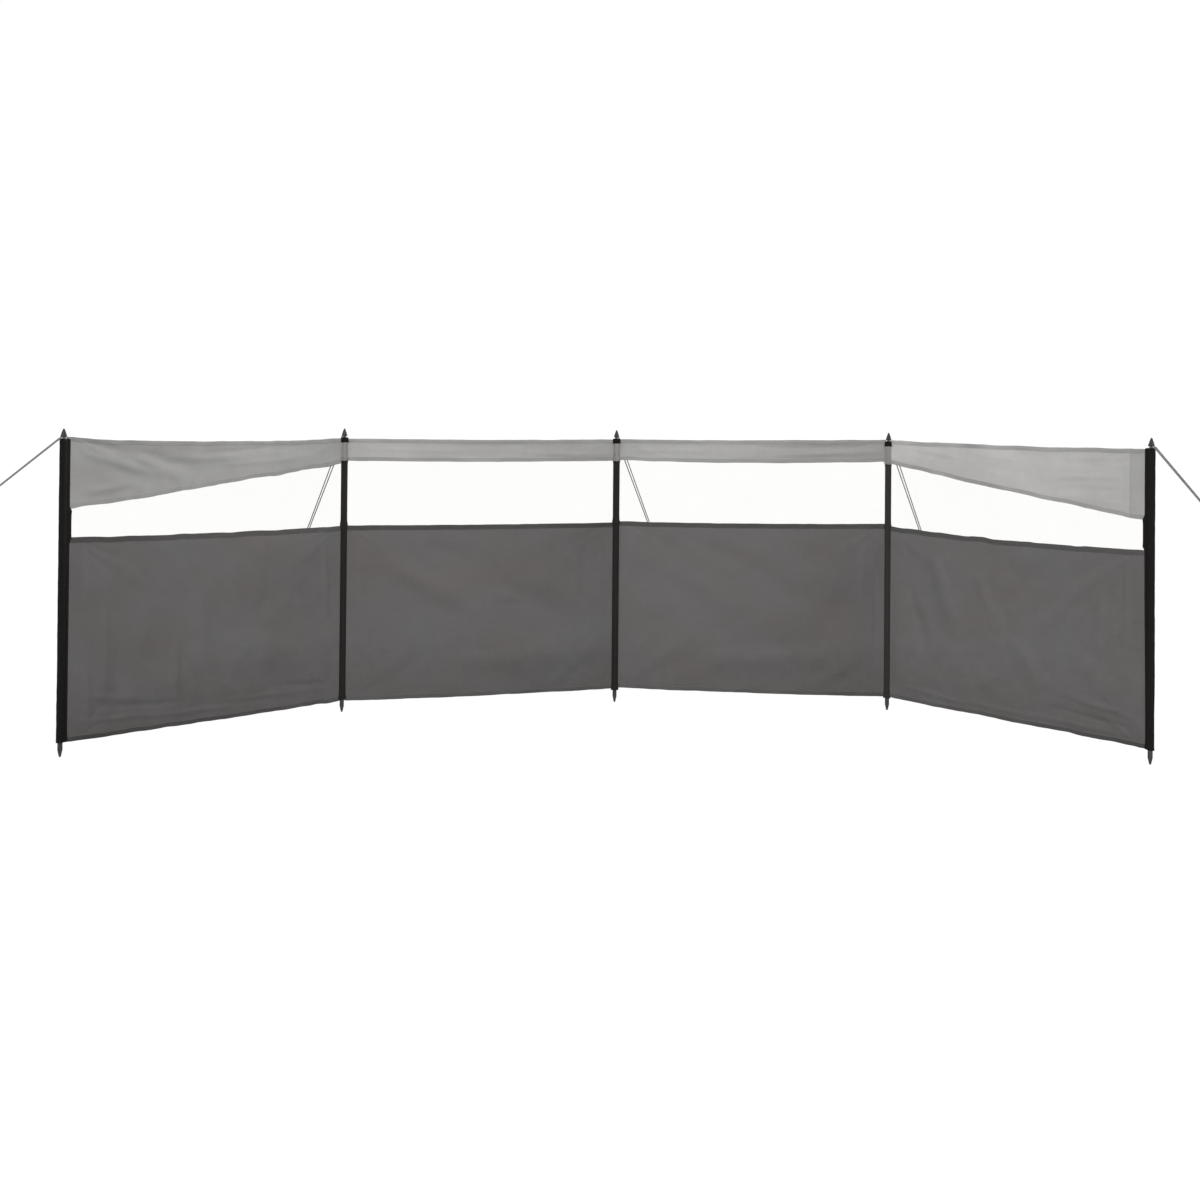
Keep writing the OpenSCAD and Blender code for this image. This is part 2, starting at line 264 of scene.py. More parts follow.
def field(b, u, z):
    """Offset to the front and upwards of the cloth of bay b."""
    u, z = np.broadcast_arrays(np.asarray(u, float), np.asarray(z, float))
    s = np.clip((u - U0[b]) / (U1[b] - U0[b]), 0, 1)
    v = np.clip((z - ZB) / (ZT - ZB), 0, 1)
    ends = np.clip(np.sin(math.pi * s), 0, 1)
    edge = np.clip(np.minimum(u - U0[b], U1[b] - u) / 0.045, 0, 1)
    edge = edge * edge * (3 - 2 * edge)
    dn = BELLY[b] * ends * (0.30 + 0.70 * np.sin(math.pi * v) ** 0.8)
    far = 1.0 if b in (0, 3) else 0.55
    dn = dn + edge * 0.0042 * fbm(u * 3.6 + 11 * b, z * 4.4, 3 + b, 2)
    dn = dn + edge * far * 0.0021 * fbm(u * 10.0 + 5 * b, z * 9.0, 21 + b, 2)
    for f in FOLDS[b]:
        dn = dn + edge * fold(u, z, f)
    lo = z_low(b, u)
    ends_b = [(U0[b], 1.0 if b == 0 else 0.6, 1), (U1[b], 1.0 if b == 3 else 0.6, -1)]
    for cu, q, sgn in ends_b:
        for cz, up in ((ZB, 1), (ZP, -1)):
            a0 = 0.0 if sgn > 0 else math.pi
            a1 = a0 + sgn * up * 1.15
            dn = dn + edge * fan(u, z, cu, cz, a0, a1, 15 + (b * 2 + up) % 5, 0.0030 * q, 0.26)
        a0 = 0.0 if sgn > 0 else math.pi
        dn = dn + edge * fan(u, z, cu, ZT, a0, a0 - sgn * 0.8, 17 + b, 0.0022 * q, 0.34)
    amp = (0.0024, 0.0015, 0.0015, 0.0024)[b]
    dn = dn + edge * pucker(u, z - ZB, b, 2, amp * (1.0 + 0.7 * (s if b == 3 else 0.2)), 0.105, 0.060)
    dn = dn + edge * pucker(u, z - ZP, b, 4, 0.8 * amp, 0.120, 0.045)
    dn = dn + edge * pucker(u, z - lo, b, 6, 0.9 * amp, 0.092, 0.040)
    dn = dn + edge * pucker(u, z - ZT, b, 8, 0.8 * amp, 0.130, 0.045)
    lines = []
    for k, (left, mid, right) in enumerate(LEVEL[b]):
        w = noise2(u * 10.0 + 3.7 * b, np.full_like(u, 1.5 * k + 0.4), 40 + k) + 0.6 * noise2(u * 23.0 - 1.9 * b, np.full_like(u, 2.5 * k + 0.7), 50 + k)
        lines.append(left * (1 - s) + right * s + 4 * mid * s * (1 - s) + edge * WANDER[b][k] * w)
    if b == 0:
        lines[3] = lines[3] + 0.007 * np.exp(-np.clip(u - F_END, 0, None) / 0.05)
    dz = np.where(
        z <= ZP, lines[0] + (lines[1] - lines[0]) * np.clip((z - ZB) / (ZP - ZB), -0.1, 1),
        np.where(z <= lo, lines[1] + (lines[2] - lines[1]) * np.clip((z - ZP) / (lo - ZP), 0, 1),
                 lines[2] + (lines[3] - lines[2]) * np.clip((z - lo) / (ZT - lo), 0, 1.1)))
    return dn, dz


def point(b, u, z, extra=0.0):
    e, n = EU[b]
    dn, dz = field(b, u, z)
    dn = dn + extra
    u, z = np.broadcast_arrays(np.asarray(u, float), np.asarray(z, float))
    p = POLE[b] + u[..., None] * e + dn[..., None] * n
    p[..., 2] += z + dz
    return p


def frame_at(b, u, z):
    """Point, tangent along the bay, tangent up and front normal of the cloth."""
    h = 0.0012
    p = point(b, u, z)
    tu = point(b, u + h, z) - point(b, u - h, z)
    tz = point(b, u, z + h) - point(b, u, z - h)
    tu /= np.linalg.norm(tu, axis=-1, keepdims=True)
    n = np.cross(tu, tz)
    n /= np.linalg.norm(n, axis=-1, keepdims=True)
    return p, tu, np.cross(n, tu), n


# ---------------------------------------------------------------- meshes
def make(name, verts, quads, tris=None, uv=None, attrs=None, mats=None):
    me = bpy.data.meshes.new(name)
    verts = np.asarray(verts, np.float32)
    quads = np.zeros((0, 4), np.int32) if quads is None else np.asarray(quads, np.int32)
    tris = np.zeros((0, 3), np.int32) if tris is None else np.asarray(tris, np.int32)
    loops = np.concatenate([quads.ravel(), tris.ravel()])
    starts = np.concatenate([np.arange(len(quads)) * 4, len(quads) * 4 + np.arange(len(tris)) * 3])
    me.vertices.add(len(verts))
    me.vertices.foreach_set("co", verts.ravel())
    me.loops.add(len(loops))
    me.loops.foreach_set("vertex_index", loops.astype(np.int32))
    me.polygons.add(len(starts))
    me.polygons.foreach_set("loop_start", starts.astype(np.int32))
    me.update(calc_edges=True)
    if uv is not None:
        layer = me.uv_layers.new(name="metres")
        layer.data.foreach_set("uv", np.asarray(uv, np.float32)[loops].ravel())
    for key, value in (attrs or {}).items():
        a = me.attributes.new(key, "FLOAT", "POINT")
        a.data.foreach_set("value", np.asarray(value, np.float32).ravel())
    me.validate()
    me.shade_smooth()
    ob = bpy.data.objects.new(name, me)
    bpy.context.scene.collection.objects.link(ob)
    for m in mats or []:
        me.materials.append(m)
    return ob


class Bag:
    """Collects closed shells into one mesh."""

    def __init__(self):
        self.v, self.q, self.t, self.uv, self.a = [], [], [], [], []
        self.n = 0

    def add(self, v, q=None, t=None, uv=None, a=None):
        v = np.asarray(v, float).reshape(-1, 3)
        if q is not None and len(q):
            self.q.append(np.asarray(q) + self.n)
        if t is not None and len(t):
            self.t.append(np.asarray(t) + self.n)
        self.v.append(v)
        self.uv.append(np.zeros((len(v), 2)) if uv is None else np.asarray(uv, float).reshape(-1, 2))
        self.a.append(np.zeros(len(v)) if a is None else np.asarray(a, float).ravel())
        self.n += len(v)

    def build(self, name, mats):
        # the 'hem' attribute holds the turned hems together with the painted shade that darkens the cloth
        return make(name, np.concatenate(self.v), np.concatenate(self.q) if self.q else None,
                    np.concatenate(self.t) if self.t else None, np.concatenate(self.uv),
                    {"hem": np.concatenate(self.a)}, mats)


def shell(bag, p, half, uv, hem):
    """A closed sheet from a grid of points, thicker where it is folded over."""
    nr, nc = p.shape[:2]
    tu, tv = np.gradient(p, axis=1), np.gradient(p, axis=0)
    tu /= np.linalg.norm(tu, axis=-1, keepdims=True)
    n = np.cross(tu, tv)
    n /= np.linalg.norm(n, axis=-1, keepdims=True)
    tv = np.cross(n, tu)
    half = np.broadcast_to(half, (nr, nc))
    front, back = p + n * half[..., None], p - n * half[..., None]
    idx = np.arange(nr * nc).reshape(nr, nc)
    a, b, c, d = idx[:-1, :-1], idx[:-1, 1:], idx[1:, 1:], idx[1:, :-1]
    fq = np.stack([a, b, c, d], -1).reshape(-1, 4)
    bq = np.stack([a, d, c, b], -1).reshape(-1, 4) + nr * nc
    rr = np.concatenate([np.zeros(nc, int), np.arange(1, nr), np.full(nc - 1, nr - 1), np.arange(nr - 2, 0, -1)])
    cc = np.concatenate([np.arange(nc), np.full(nr - 1, nc - 1), np.arange(nc - 2, -1, -1), np.zeros(nr - 2, int)])
    out = np.zeros((len(rr), 3))
    out -= tv[rr, cc] * (rr == 0)[:, None]
    out += tv[rr, cc] * (rr == nr - 1)[:, None]
    out -= tu[rr, cc] * (cc == 0)[:, None]
    out += tu[rr, cc] * (cc == nc - 1)[:, None]
    out /= np.linalg.norm(out, axis=-1, keepdims=True)
    rim = p[rr, cc] + out * half[rr, cc][:, None]
    m = len(rr)
    i = np.arange(m)
    j = (i + 1) % m
    fi, ri, bi = idx[rr, cc], 2 * nr * nc + i, nr * nc + idx[rr, cc]
    rq = np.concatenate([np.stack([fi[j], fi[i], ri[i], ri[j]], -1), np.stack([ri[j], ri[i], bi[i], bi[j]], -1)])
    bag.add(np.concatenate([front.reshape(-1, 3), back.reshape(-1, 3), rim]), np.concatenate([fq, bq, rq]), None,
            np.concatenate([uv.reshape(-1, 2), uv.reshape(-1, 2), uv[rr, cc]]),
            np.concatenate([hem.ravel(), hem.ravel(), hem[rr, cc]]))


def loft(bag, rings, uv=None, close=False, cap=True, hem=None):
    """Rings of the same count, joined in order; close joins the last to the first."""
    rings = np.asarray(rings, float)
    nr, m = rings.shape[:2]
    idx = np.arange(nr * m).reshape(nr, m)
    nxt = np.roll(idx, -1, axis=1)
    if close:
        up, nup = np.roll(idx, -1, axis=0), np.roll(nxt, -1, axis=0)
    else:
        up, nup, idx_, nxt_ = idx[1:], nxt[1:], idx[:-1], nxt[:-1]
    lo, nlo = (idx, nxt) if close else (idx_, nxt_)
    q = np.stack([lo, nlo, nup, up], -1).reshape(-1, 4)
    v = rings.reshape(-1, 3)
    tris = []
    uvs = np.zeros((nr * m, 2)) if uv is None else np.asarray(uv, float).reshape(-1, 2)
    hems = np.zeros(nr * m) if hem is None else np.asarray(hem, float).ravel()
    if cap and not close:
        v = np.concatenate([v, rings[0].mean(0)[None], rings[-1].mean(0)[None]])
        uvs = np.concatenate([uvs, uvs[:1], uvs[-1:]])
        hems = np.concatenate([hems, [0, 0]])
        c0, c1 = nr * m, nr * m + 1
        k = np.arange(m)
        tris = np.concatenate([np.stack([np.full(m, c0), (k + 1) % m, k], -1),
                               np.stack([np.full(m, c1), (nr - 1) * m + k, (nr - 1) * m + (k + 1) % m], -1)])
    bag.add(v, q, tris, uvs, hems)


def transport(path):
    """Tangents and a steady pair of normals along a path."""
    path = np.asarray(path, float)
    t = np.gradient(path, axis=0)
    t /= np.linalg.norm(t, axis=1, keepdims=True)
    ref = np.array([0, 0, 1.0]) if abs(t[0][2]) < 0.9 else np.array([1.0, 0, 0])
    n = np.cross(t[0], ref)
    n /= np.linalg.norm(n)
    ns = [n]
    for k in range(1, len(path)):
        n = ns[-1] - t[k] * np.dot(ns[-1], t[k])
        n /= np.linalg.norm(n)
        ns.append(n)
    ns = np.array(ns)
    return t, ns, np.cross(t, ns)


def curve_through(points, step):
    """A smooth line through points, in even steps."""
    p = np.asarray(points, float)
    keep = [0] + [k for k in range(1, len(p)) if np.linalg.norm(p[k] - p[k - 1]) > 1e-6]
    p = p[keep]
    q = np.concatenate([[2 * p[0] - p[1]], p, [2 * p[-1] - p[-2]]])
    out = []
    for k in range(1, len(q) - 2):
        a, b, c, d = q[k - 1:k + 3]
        t0 = 0.0
        t1 = t0 + max(np.linalg.norm(b - a), 1e-9) ** 0.5
        t2 = t1 + max(np.linalg.norm(c - b), 1e-9) ** 0.5
        t3 = t2 + max(np.linalg.norm(d - c), 1e-9) ** 0.5
        m = max(8, int(np.linalg.norm(c - b) / (0.5 * step)))
        t = np.linspace(t1, t2, m, endpoint=False)[:, None]
        a1 = (t1 - t) / (t1 - t0) * a + (t - t0) / (t1 - t0) * b
        a2 = (t2 - t) / (t2 - t1) * b + (t - t1) / (t2 - t1) * c
        a3 = (t3 - t) / (t3 - t2) * c + (t - t2) / (t3 - t2) * d
        b1 = (t2 - t) / (t2 - t0) * a1 + (t - t0) / (t2 - t0) * a2
        b2 = (t3 - t) / (t3 - t1) * a2 + (t - t1) / (t3 - t1) * a3
        out.append((t2 - t) / (t2 - t1) * b1 + (t - t1) / (t2 - t1) * b2)
    line = np.concatenate(out + [p[-1:]])
    d = np.concatenate([[0], np.cumsum(np.linalg.norm(np.diff(line, axis=0), axis=1))])
    s = np.linspace(0, d[-1], max(4, int(round(d[-1] / step)) + 1))
    return np.stack([np.interp(s, d, line[:, k]) for k in range(3)], 1), s


def rope(bag, points, r, step=0.0016, sides=12, pitch=0.0105, strands=3, relief=0.10):
    """A braided line: crossing strands stand proud of the core."""
    path, s = curve_through(points, step)
    t, n, m = transport(path)
    th = np.arange(sides) * 2 * math.pi / sides
    ph = 2 * math.pi * s / pitch
    a = np.cos(strands * th[None, :] + ph[:, None])
    b = np.cos(strands * th[None, :] - ph[:, None] + math.pi / 3)
    rr = r * (1 - relief * 0.6 + relief * np.maximum(a, b))
    end = np.ones(len(s))
    end[0], end[-1] = 0.72, 0.72
    rr = rr * end[:, None]
    rings = path[:, None, :] + rr[..., None] * (np.cos(th)[None, :, None] * n[:, None, :] + np.sin(th)[None, :, None] * m[:, None, :])
    uv = np.stack(np.broadcast_arrays(th[None, :] * r, s[:, None]), -1)
    loft(bag, rings, uv)
    return s[-1]


def rod(bag, points, r, step=0.002, sides=16):
    path, s = curve_through(points, step)
    t, n, m = transport(path)
    th = np.arange(sides) * 2 * math.pi / sides
    rings = path[:, None, :] + r * (np.cos(th)[None, :, None] * n[:, None, :] + np.sin(th)[None, :, None] * m[:, None, :])
    uv = np.stack(np.broadcast_arrays(th[None, :] * r, s[:, None]), -1)
    return rings, uv


def stitches(bag, p, t, n, length=0.0042, width=0.00042, lift=0.00012):
    """One small sunk thread per stitch, at p, along t, on the side n."""
    p, t, n = (np.asarray(x, float).reshape(-1, 3) for x in (p, t, n))
    w = np.cross(n, t)
    k = len(p)
    rings = []
    for at, f, up in ((-0.5, 0.0, -0.00025), (-0.34, 1.0, 0.0), (0.34, 1.0, 0.0), (0.5, 0.0, -0.00025)):
        c = p + t * (at * length) + n * (lift + up)
        if f == 0.0:
            rings.append(c[:, None, :])
        else:
            ring = [c + (w * math.cos(x) + n * math.sin(x) * 0.8) * width for x in (0.0, math.pi / 2, math.pi, 1.5 * math.pi)]
            rings.append(np.stack(ring, 1))
    v = np.concatenate(rings, 1)            # 1 + 4 + 4 + 1
    base = np.arange(k)[:, None, None] * 10
    ring = np.array([1, 2, 3, 4])
    nxt = np.array([2, 3, 4, 1])
    q = np.stack([ring, nxt, nxt + 4, ring + 4], -1)[None] + base
    t0 = np.stack([np.zeros(4, int), nxt, ring], -1)[None] + base
    t1 = np.stack([np.full(4, 9), ring + 4, nxt + 4], -1)[None] + base
    bag.add(v.reshape(-1, 3), q.reshape(-1, 4), np.concatenate([t0.reshape(-1, 3), t1.reshape(-1, 3)]))


# ---------------------------------------------------------------- materials
class Mat:
    def __init__(self, name):
        self.m = bpy.data.materials.new(name)
        self.m.use_nodes = True
        self.t = self.m.node_tree
        self.t.nodes.clear()
        self.out = self.t.nodes.new("ShaderNodeOutputMaterial")

    def node(self, kind, **kw):
        n = self.t.nodes.new(kind)
        for k, v in kw.items():
            setattr(n, k, v)
        return n

    def put(self, socket, value):
        if isinstance(value, bpy.types.NodeSocket):
            self.t.links.new(value, socket)
        elif value is not None:
            socket.default_value = value

    def math(self, op, a, b=None, c=None, clamp=False):
        n = self.node("ShaderNodeMath", operation=op, use_clamp=clamp)
        for k, v in enumerate((a, b, c)):
            if v is not None:
                self.put(n.inputs[k], v)
        return n.outputs[0]

    def mix(self, fac, a, b, blend="MIX"):
        n = self.node("ShaderNodeMix", data_type="RGBA", blend_type=blend)
        self.put(n.inputs[0], fac)
        for k, v in ((6, a), (7, b)):
            self.put(n.inputs[k], tuple(v) + (1.0,) if isinstance(v, (tuple, list)) and len(v) == 3 else v)
        return n.outputs[2]

    def uv(self):
        return self.node("ShaderNodeUVMap", uv_map="metres").outputs[0]

    def obj(self):
        return self.node("ShaderNodeTexCoord").outputs["Object"]

    def scaled(self, vec, scale):
        n = self.node("ShaderNodeMapping")
        self.put(n.inputs["Vector"], vec)
        n.inputs["Scale"].default_value = scale
        return n.outputs[0]

    def noise(self, vec, scale=1.0, detail=2.0, rough=0.5):
        n = self.node("ShaderNodeTexNoise")
        self.put(n.inputs["Vector"], vec)
        n.inputs["Scale"].default_value = scale
        n.inputs["Detail"].default_value = detail
        n.inputs["Roughness"].default_value = rough
        return n.outputs[0]

    def range(self, v, a, b, c, d):
        n = self.node("ShaderNodeMapRange", clamp=True)
        for k, x in enumerate((v, a, b, c, d)):
            self.put(n.inputs[k], x)
        return n.outputs[0]

    def attr(self, name):
        return self.node("ShaderNodeAttribute", attribute_name=name).outputs["Fac"]

    def bump(self, height, strength, distance, normal=None):
        n = self.node("ShaderNodeBump")
        n.inputs["Strength"].default_value = strength
        n.inputs["Distance"].default_value = distance
        self.put(n.inputs["Height"], height)
        self.put(n.inputs["Normal"], normal)
        return n.outputs[0]

    def principled(self, **kw):
        n = self.node("ShaderNodeBsdfPrincipled")
        for k, v in kw.items():
            s = n.inputs[k.replace("_", " ")]
            if isinstance(v, (tuple, list)) and len(v) == 3 and s.type == "RGBA":
                v = tuple(v) + (1.0,)
            self.put(s, v)
        return n

    def done(self, shader):
        self.t.links.new(shader, self.out.inputs["Surface"])
        return self.m


def weave(m, uv, pitch):
    """Plain weave: threads that pass over and under each other, as a height from 0 to 1."""
    sep = m.node("ShaderNodeSeparateXYZ")
    m.put(sep.inputs[0], uv)
    x, y = sep.outputs[0], sep.outputs[1]
    hx = m.math("ABSOLUTE", m.math("SINE", m.math("MULTIPLY", x, math.pi / pitch)))
    hy = m.math("ABSOLUTE", m.math("SINE", m.math("MULTIPLY", y, math.pi / pitch)))
    ck = m.node("ShaderNodeTexChecker")
    m.put(ck.inputs["Vector"], uv)
    ck.inputs["Scale"].default_value = 1.0 / pitch
    ck.inputs["Color1"].default_value = (0, 0, 0, 1)
    ck.inputs["Color2"].default_value = (1, 1, 1, 1)
    fac = ck.outputs["Fac"]
    a = m.math("MULTIPLY", hx, fac)
    b = m.math("MULTIPLY", hy, m.math("SUBTRACT", 1.0, fac))
    return m.math("ADD", a, b)


def cloth(name, warm, cool, rough, pitch, bump, sheen, hem_and_shade_dark=0.10, vary=0.16, translucent=None, through=0.5, ground_shade=0.0, spec=0.30):
    m = Mat(name)
    uv = m.uv()
    wv = weave(m, uv, pitch)
    broad = m.noise(m.scaled(uv, (3.0, 4.0, 1.0)), 1.0, 3.0, 0.55)
    blot = m.noise(m.scaled(uv, (14.0, 17.0, 1.0)), 1.0, 3.0, 0.6)
    warp = m.noise(m.scaled(uv, (520.0, 14.0, 1.0)), 1.0, 2.0, 0.6)
    weft = m.noise(m.scaled(uv, (11.0, 560.0, 1.0)), 1.0, 2.0, 0.6)
    slub = m.math("ADD", warp, weft)
    base = m.mix(m.range(broad, 0.35, 0.65, 0.0, 1.0), warm, cool)
    f = m.range(broad, 0.25, 0.75, 1.0 - 0.45 * vary, 1.0 + 0.45 * vary)
    f = m.math("MULTIPLY", f, m.range(blot, 0.25, 0.75, 1.0 - 0.25 * vary, 1.0 + 0.25 * vary))
    f = m.math("MULTIPLY", f, m.range(slub, 0.6, 1.4, 1.0 - 0.6 * vary, 1.0 + 0.6 * vary))
    f = m.math("MULTIPLY", f, m.range(wv, 0.0, 1.0, 0.90, 1.06))
    # the 'hem' attribute darkens the colour: it holds the turned hems together with painted shade along the bays and
    # hems
    hem = m.attr("hem")
    f = m.math("MULTIPLY", f, m.math("SUBTRACT", 1.0, m.math("MULTIPLY", hem, hem_and_shade_dark)))
    # painted shade: the cloth is darkened towards the ground, where less light reaches it, with a ragged upper edge
    if ground_shade:
        sep = m.node("ShaderNodeSeparateXYZ")
        m.put(sep.inputs[0], m.obj())
        low = m.math("ADD", sep.outputs[2], m.math("MULTIPLY", m.math("SUBTRACT", blot, 0.5), 0.22))
        f = m.math("MULTIPLY", f, m.range(low, 0.04, 0.34, 1.0 - ground_shade, 1.0))
    g = m.node("ShaderNodeCombineColor")
    for k in range(3):
        m.put(g.inputs[k], f)
    col = m.mix(1.0, base, g.outputs[0], "MULTIPLY")
    h = m.math("ADD", wv, m.math("MULTIPLY", slub, 0.6))
    nrm = m.bump(h, bump, 0.0004)
    p = m.principled(Base_Color=col, Roughness=m.range(blot, 0.3, 0.7, rough - 0.05, rough + 0.08), Normal=nrm,
                     Sheen_Weight=sheen, Sheen_Roughness=0.45, Specular_IOR_Level=spec)
    if translucent is None:
        return m.done(p.outputs[0])
    tr = m.node("ShaderNodeBsdfTranslucent")
    m.put(tr.inputs["Color"], m.mix(1.0, translucent, g.outputs[0], "MULTIPLY"))
    m.put(tr.inputs["Normal"], nrm)
    # less light through where the hem attribute is high: the doubled cloth, and the painted shade along the band
    mx = m.node("ShaderNodeMixShader")
    m.put(mx.inputs[0], m.math("MULTIPLY", m.math("SUBTRACT", 1.0, m.math("MULTIPLY", hem, 0.34)), through, clamp=True))
    m.t.links.new(p.outputs[0], mx.inputs[1])
    m.t.links.new(tr.outputs[0], mx.inputs[2])
    return m.done(mx.outputs[0])


def thread(name, col):
    m = Mat(name)
    v = m.scaled(m.obj(), (900.0, 900.0, 900.0))
    n = m.noise(v, 1.0, 2.0)
    f = m.mix(m.range(n, 0.3, 0.7, 0.0, 1.0), tuple(c * 0.78 for c in col), tuple(min(1, c * 1.2) for c in col))
    p = m.principled(Base_Color=f, Roughness=m.range(n, 0.3, 0.7, 0.5, 0.7), Normal=m.bump(n, 0.3, 0.0002), Sheen_Weight=0.15)
    return m.done(p.outputs[0])


def film(name):
    m = Mat(name)
    uv = m.uv()
    wav = m.noise(m.scaled(uv, (5.0, 7.0, 1.0)), 1.0, 2.0)
    fine = m.noise(m.scaled(uv, (160.0, 190.0, 1.0)), 1.0, 2.0)
    p = m.principled(Base_Color=m.mix(wav, (0.90, 0.915, 0.90), (0.94, 0.945, 0.93)), Roughness=m.range(fine, 0.3, 0.7, 0.06, 0.14),
                     Normal=m.bump(m.math("ADD", wav, m.math("MULTIPLY", fine, 0.04)), 0.25, 0.004), Specular_IOR_Level=0.5)
    clear = m.node("ShaderNodeBsdfTransparent")
    clear.inputs["Color"].default_value = (0.981, 0.979, 0.971, 1)
    lw = m.node("ShaderNodeLayerWeight")
    lw.inputs["Blend"].default_value = 0.22
    mx = m.node("ShaderNodeMixShader")
    m.put(mx.inputs[0], m.math("ADD", m.math("MULTIPLY", lw.outputs["Fresnel"], 0.45), m.range(wav, 0.3, 0.7, 0.015, 0.03)))
    m.t.links.new(clear.outputs[0], mx.inputs[1])
    m.t.links.new(p.outputs[0], mx.inputs[2])
    return m.done(mx.outputs[0])


def metal(name, dark, light, rough, spangle, streak=60.0):
    m = Mat(name)
    v = m.obj()
    cells = m.node("ShaderNodeTexVoronoi")
    m.put(cells.inputs["Vector"], v)
    cells.inputs["Scale"].default_value = spangle
    sp = m.node("ShaderNodeSeparateColor")
    m.put(sp.inputs[0], cells.outputs["Color"])
    ns = m.noise(m.scaled(v, (streak, streak, streak * 0.12)), 1.0, 4.0, 0.6)
    grime = m.noise(m.scaled(v, (90.0, 90.0, 40.0)), 1.0, 4.0, 0.65)
    col = m.mix(m.range(sp.outputs[0], 0.0, 1.0, 0.0, 1.0), dark, light)
    col = m.mix(m.range(grime, 0.52, 0.75, 0.0, 0.55), col, tuple(c * 0.45 for c in dark))
    p = m.principled(Base_Color=col, Metallic=1.0, Roughness=m.math("ADD", m.range(ns, 0.3, 0.7, rough - 0.08, rough + 0.10), m.range(sp.outputs[1], 0, 1, -0.04, 0.04)),
                     Normal=m.bump(m.math("ADD", ns, m.math("MULTIPLY", grime, 0.6)), 0.12, 0.0004))
    return m.done(p.outputs[0])


def plastic(name, col):
    m = Mat(name)
    v = m.obj()
    grain = m.noise(m.scaled(v, (1400.0, 1400.0, 1400.0)), 1.0, 2.0)
    wear = m.noise(m.scaled(v, (110.0, 110.0, 110.0)), 1.0, 4.0, 0.6)
    geo = m.node("ShaderNodeNewGeometry")
    edge = m.range(geo.outputs["Pointiness"], 0.52, 0.60, 0.0, 0.5)
    f = m.mix(m.range(wear, 0.4, 0.7, 0.0, 1.0), tuple(c * 0.85 for c in col), tuple(c * 1.35 for c in col))
    f = m.mix(edge, f, tuple(min(1, c * 3 + 0.02) for c in col))
    p = m.principled(Base_Color=f, Roughness=m.range(wear, 0.3, 0.7, 0.42, 0.58), Normal=m.bump(grain, 0.15, 0.0003), Specular_IOR_Level=0.45)
    return m.done(p.outputs[0])


def cord_mat(name, a, b):
    m = Mat(name)
    uv = m.uv()
    fib = m.noise(m.scaled(uv, (2600.0, 700.0, 1.0)), 1.0, 3.0)
    dirt = m.noise(m.scaled(uv, (60.0, 22.0, 1.0)), 1.0, 3.0, 0.6)
    col = m.mix(m.range(fib, 0.3, 0.7, 0.0, 1.0), a, b)
    col = m.mix(m.range(dirt, 0.5, 0.8, 0.0, 0.35), col, tuple(c * 0.6 for c in a))
    p = m.principled(Base_Color=col, Roughness=m.range(fib, 0.3, 0.7, 0.6, 0.8), Normal=m.bump(fib, 0.35, 0.0003), Sheen_Weight=0.2, Sheen_Roughness=0.4)
    return m.done(p.outputs[0])


# the dark cloth gets painted shade towards the ground, along its hems and along each bay
DARK = cloth("dark_cloth_mat", (0.1507, 0.1408, 0.1388), (0.1418, 0.1379, 0.1399), 0.80, 0.0011, 0.30, 0.05, hem_and_shade_dark=0.43, vary=0.14, ground_shade=0.15, spec=0.20)
LIGHT = cloth("light_cloth_mat", (0.461, 0.453, 0.446), (0.445, 0.447, 0.444), 0.76, 0.0011, 0.25, 0.05, hem_and_shade_dark=0.10, vary=0.12,
              translucent=(0.85, 0.841, 0.834), through=0.5, spec=0.20)
BLACK = cloth("black_cloth_mat", (0.0098, 0.0084, 0.0074), (0.0086, 0.0082, 0.0080), 0.86, 0.0013, 0.35, 0.015, hem_and_shade_dark=0.10, vary=0.30, spec=0.14)
FILM = film("clear_film_mat")
T_DARK = thread("dark_thread_mat", (0.085, 0.081, 0.079))
T_LIGHT = thread("light_thread_mat", (0.30, 0.296, 0.29))
T_BLACK = thread("black_thread_mat", (0.016, 0.0155, 0.015))
STEEL = metal("galvanised_mat", (0.070, 0.069, 0.068), (0.150, 0.149, 0.148), 0.42, 420.0)
ZINC = metal("peg_zinc_mat", (0.44, 0.45, 0.46), (0.58, 0.585, 0.59), 0.36, 900.0)
PLAS = plastic("black_plastic_mat", (0.0105, 0.0105, 0.011))
CORD = cord_mat("guy_cord_mat", (0.150, 0.146, 0.138), (0.250, 0.243, 0.230))


# ---------------------------------------------------------------- stage: camera, light, floor
scene = bpy.context.scene
YAW, PITCH, ROLL = rad(3.084), rad(0.573), rad(0.494)
look = Vector((math.sin(YAW) * math.cos(PITCH), math.cos(YAW) * math.cos(PITCH), math.sin(PITCH)))
right0 = Vector((math.cos(YAW), -math.sin(YAW), 0.0))
up0 = right0.cross(look)
right = right0 * math.cos(ROLL) + up0 * math.sin(ROLL)
up = up0 * math.cos(ROLL) - right0 * math.sin(ROLL)
cam = bpy.data.cameras.new("camera")
cam.sensor_width = 36.0
cam.lens = 36.0 * 1361.24 / 1200.0
cam.shift_y = (401.76 - 600.0) / 1200.0
cam.clip_end = 400.0
cam_ob = bpy.data.objects.new("camera", cam)
cam_ob.matrix_world = Matrix.Translation((-0.4215, -6.3472, 1.3344)) @ Matrix(
    ((right.x, up.x, -look.x), (right.y, up.y, -look.y), (right.z, up.z, -look.z))).to_4x4()
scene.collection.objects.link(cam_ob)
scene.camera = cam_ob

scene.view_settings.view_transform = "Standard"
scene.view_settings.look = "None"
scene.view_settings.exposure = 0.0

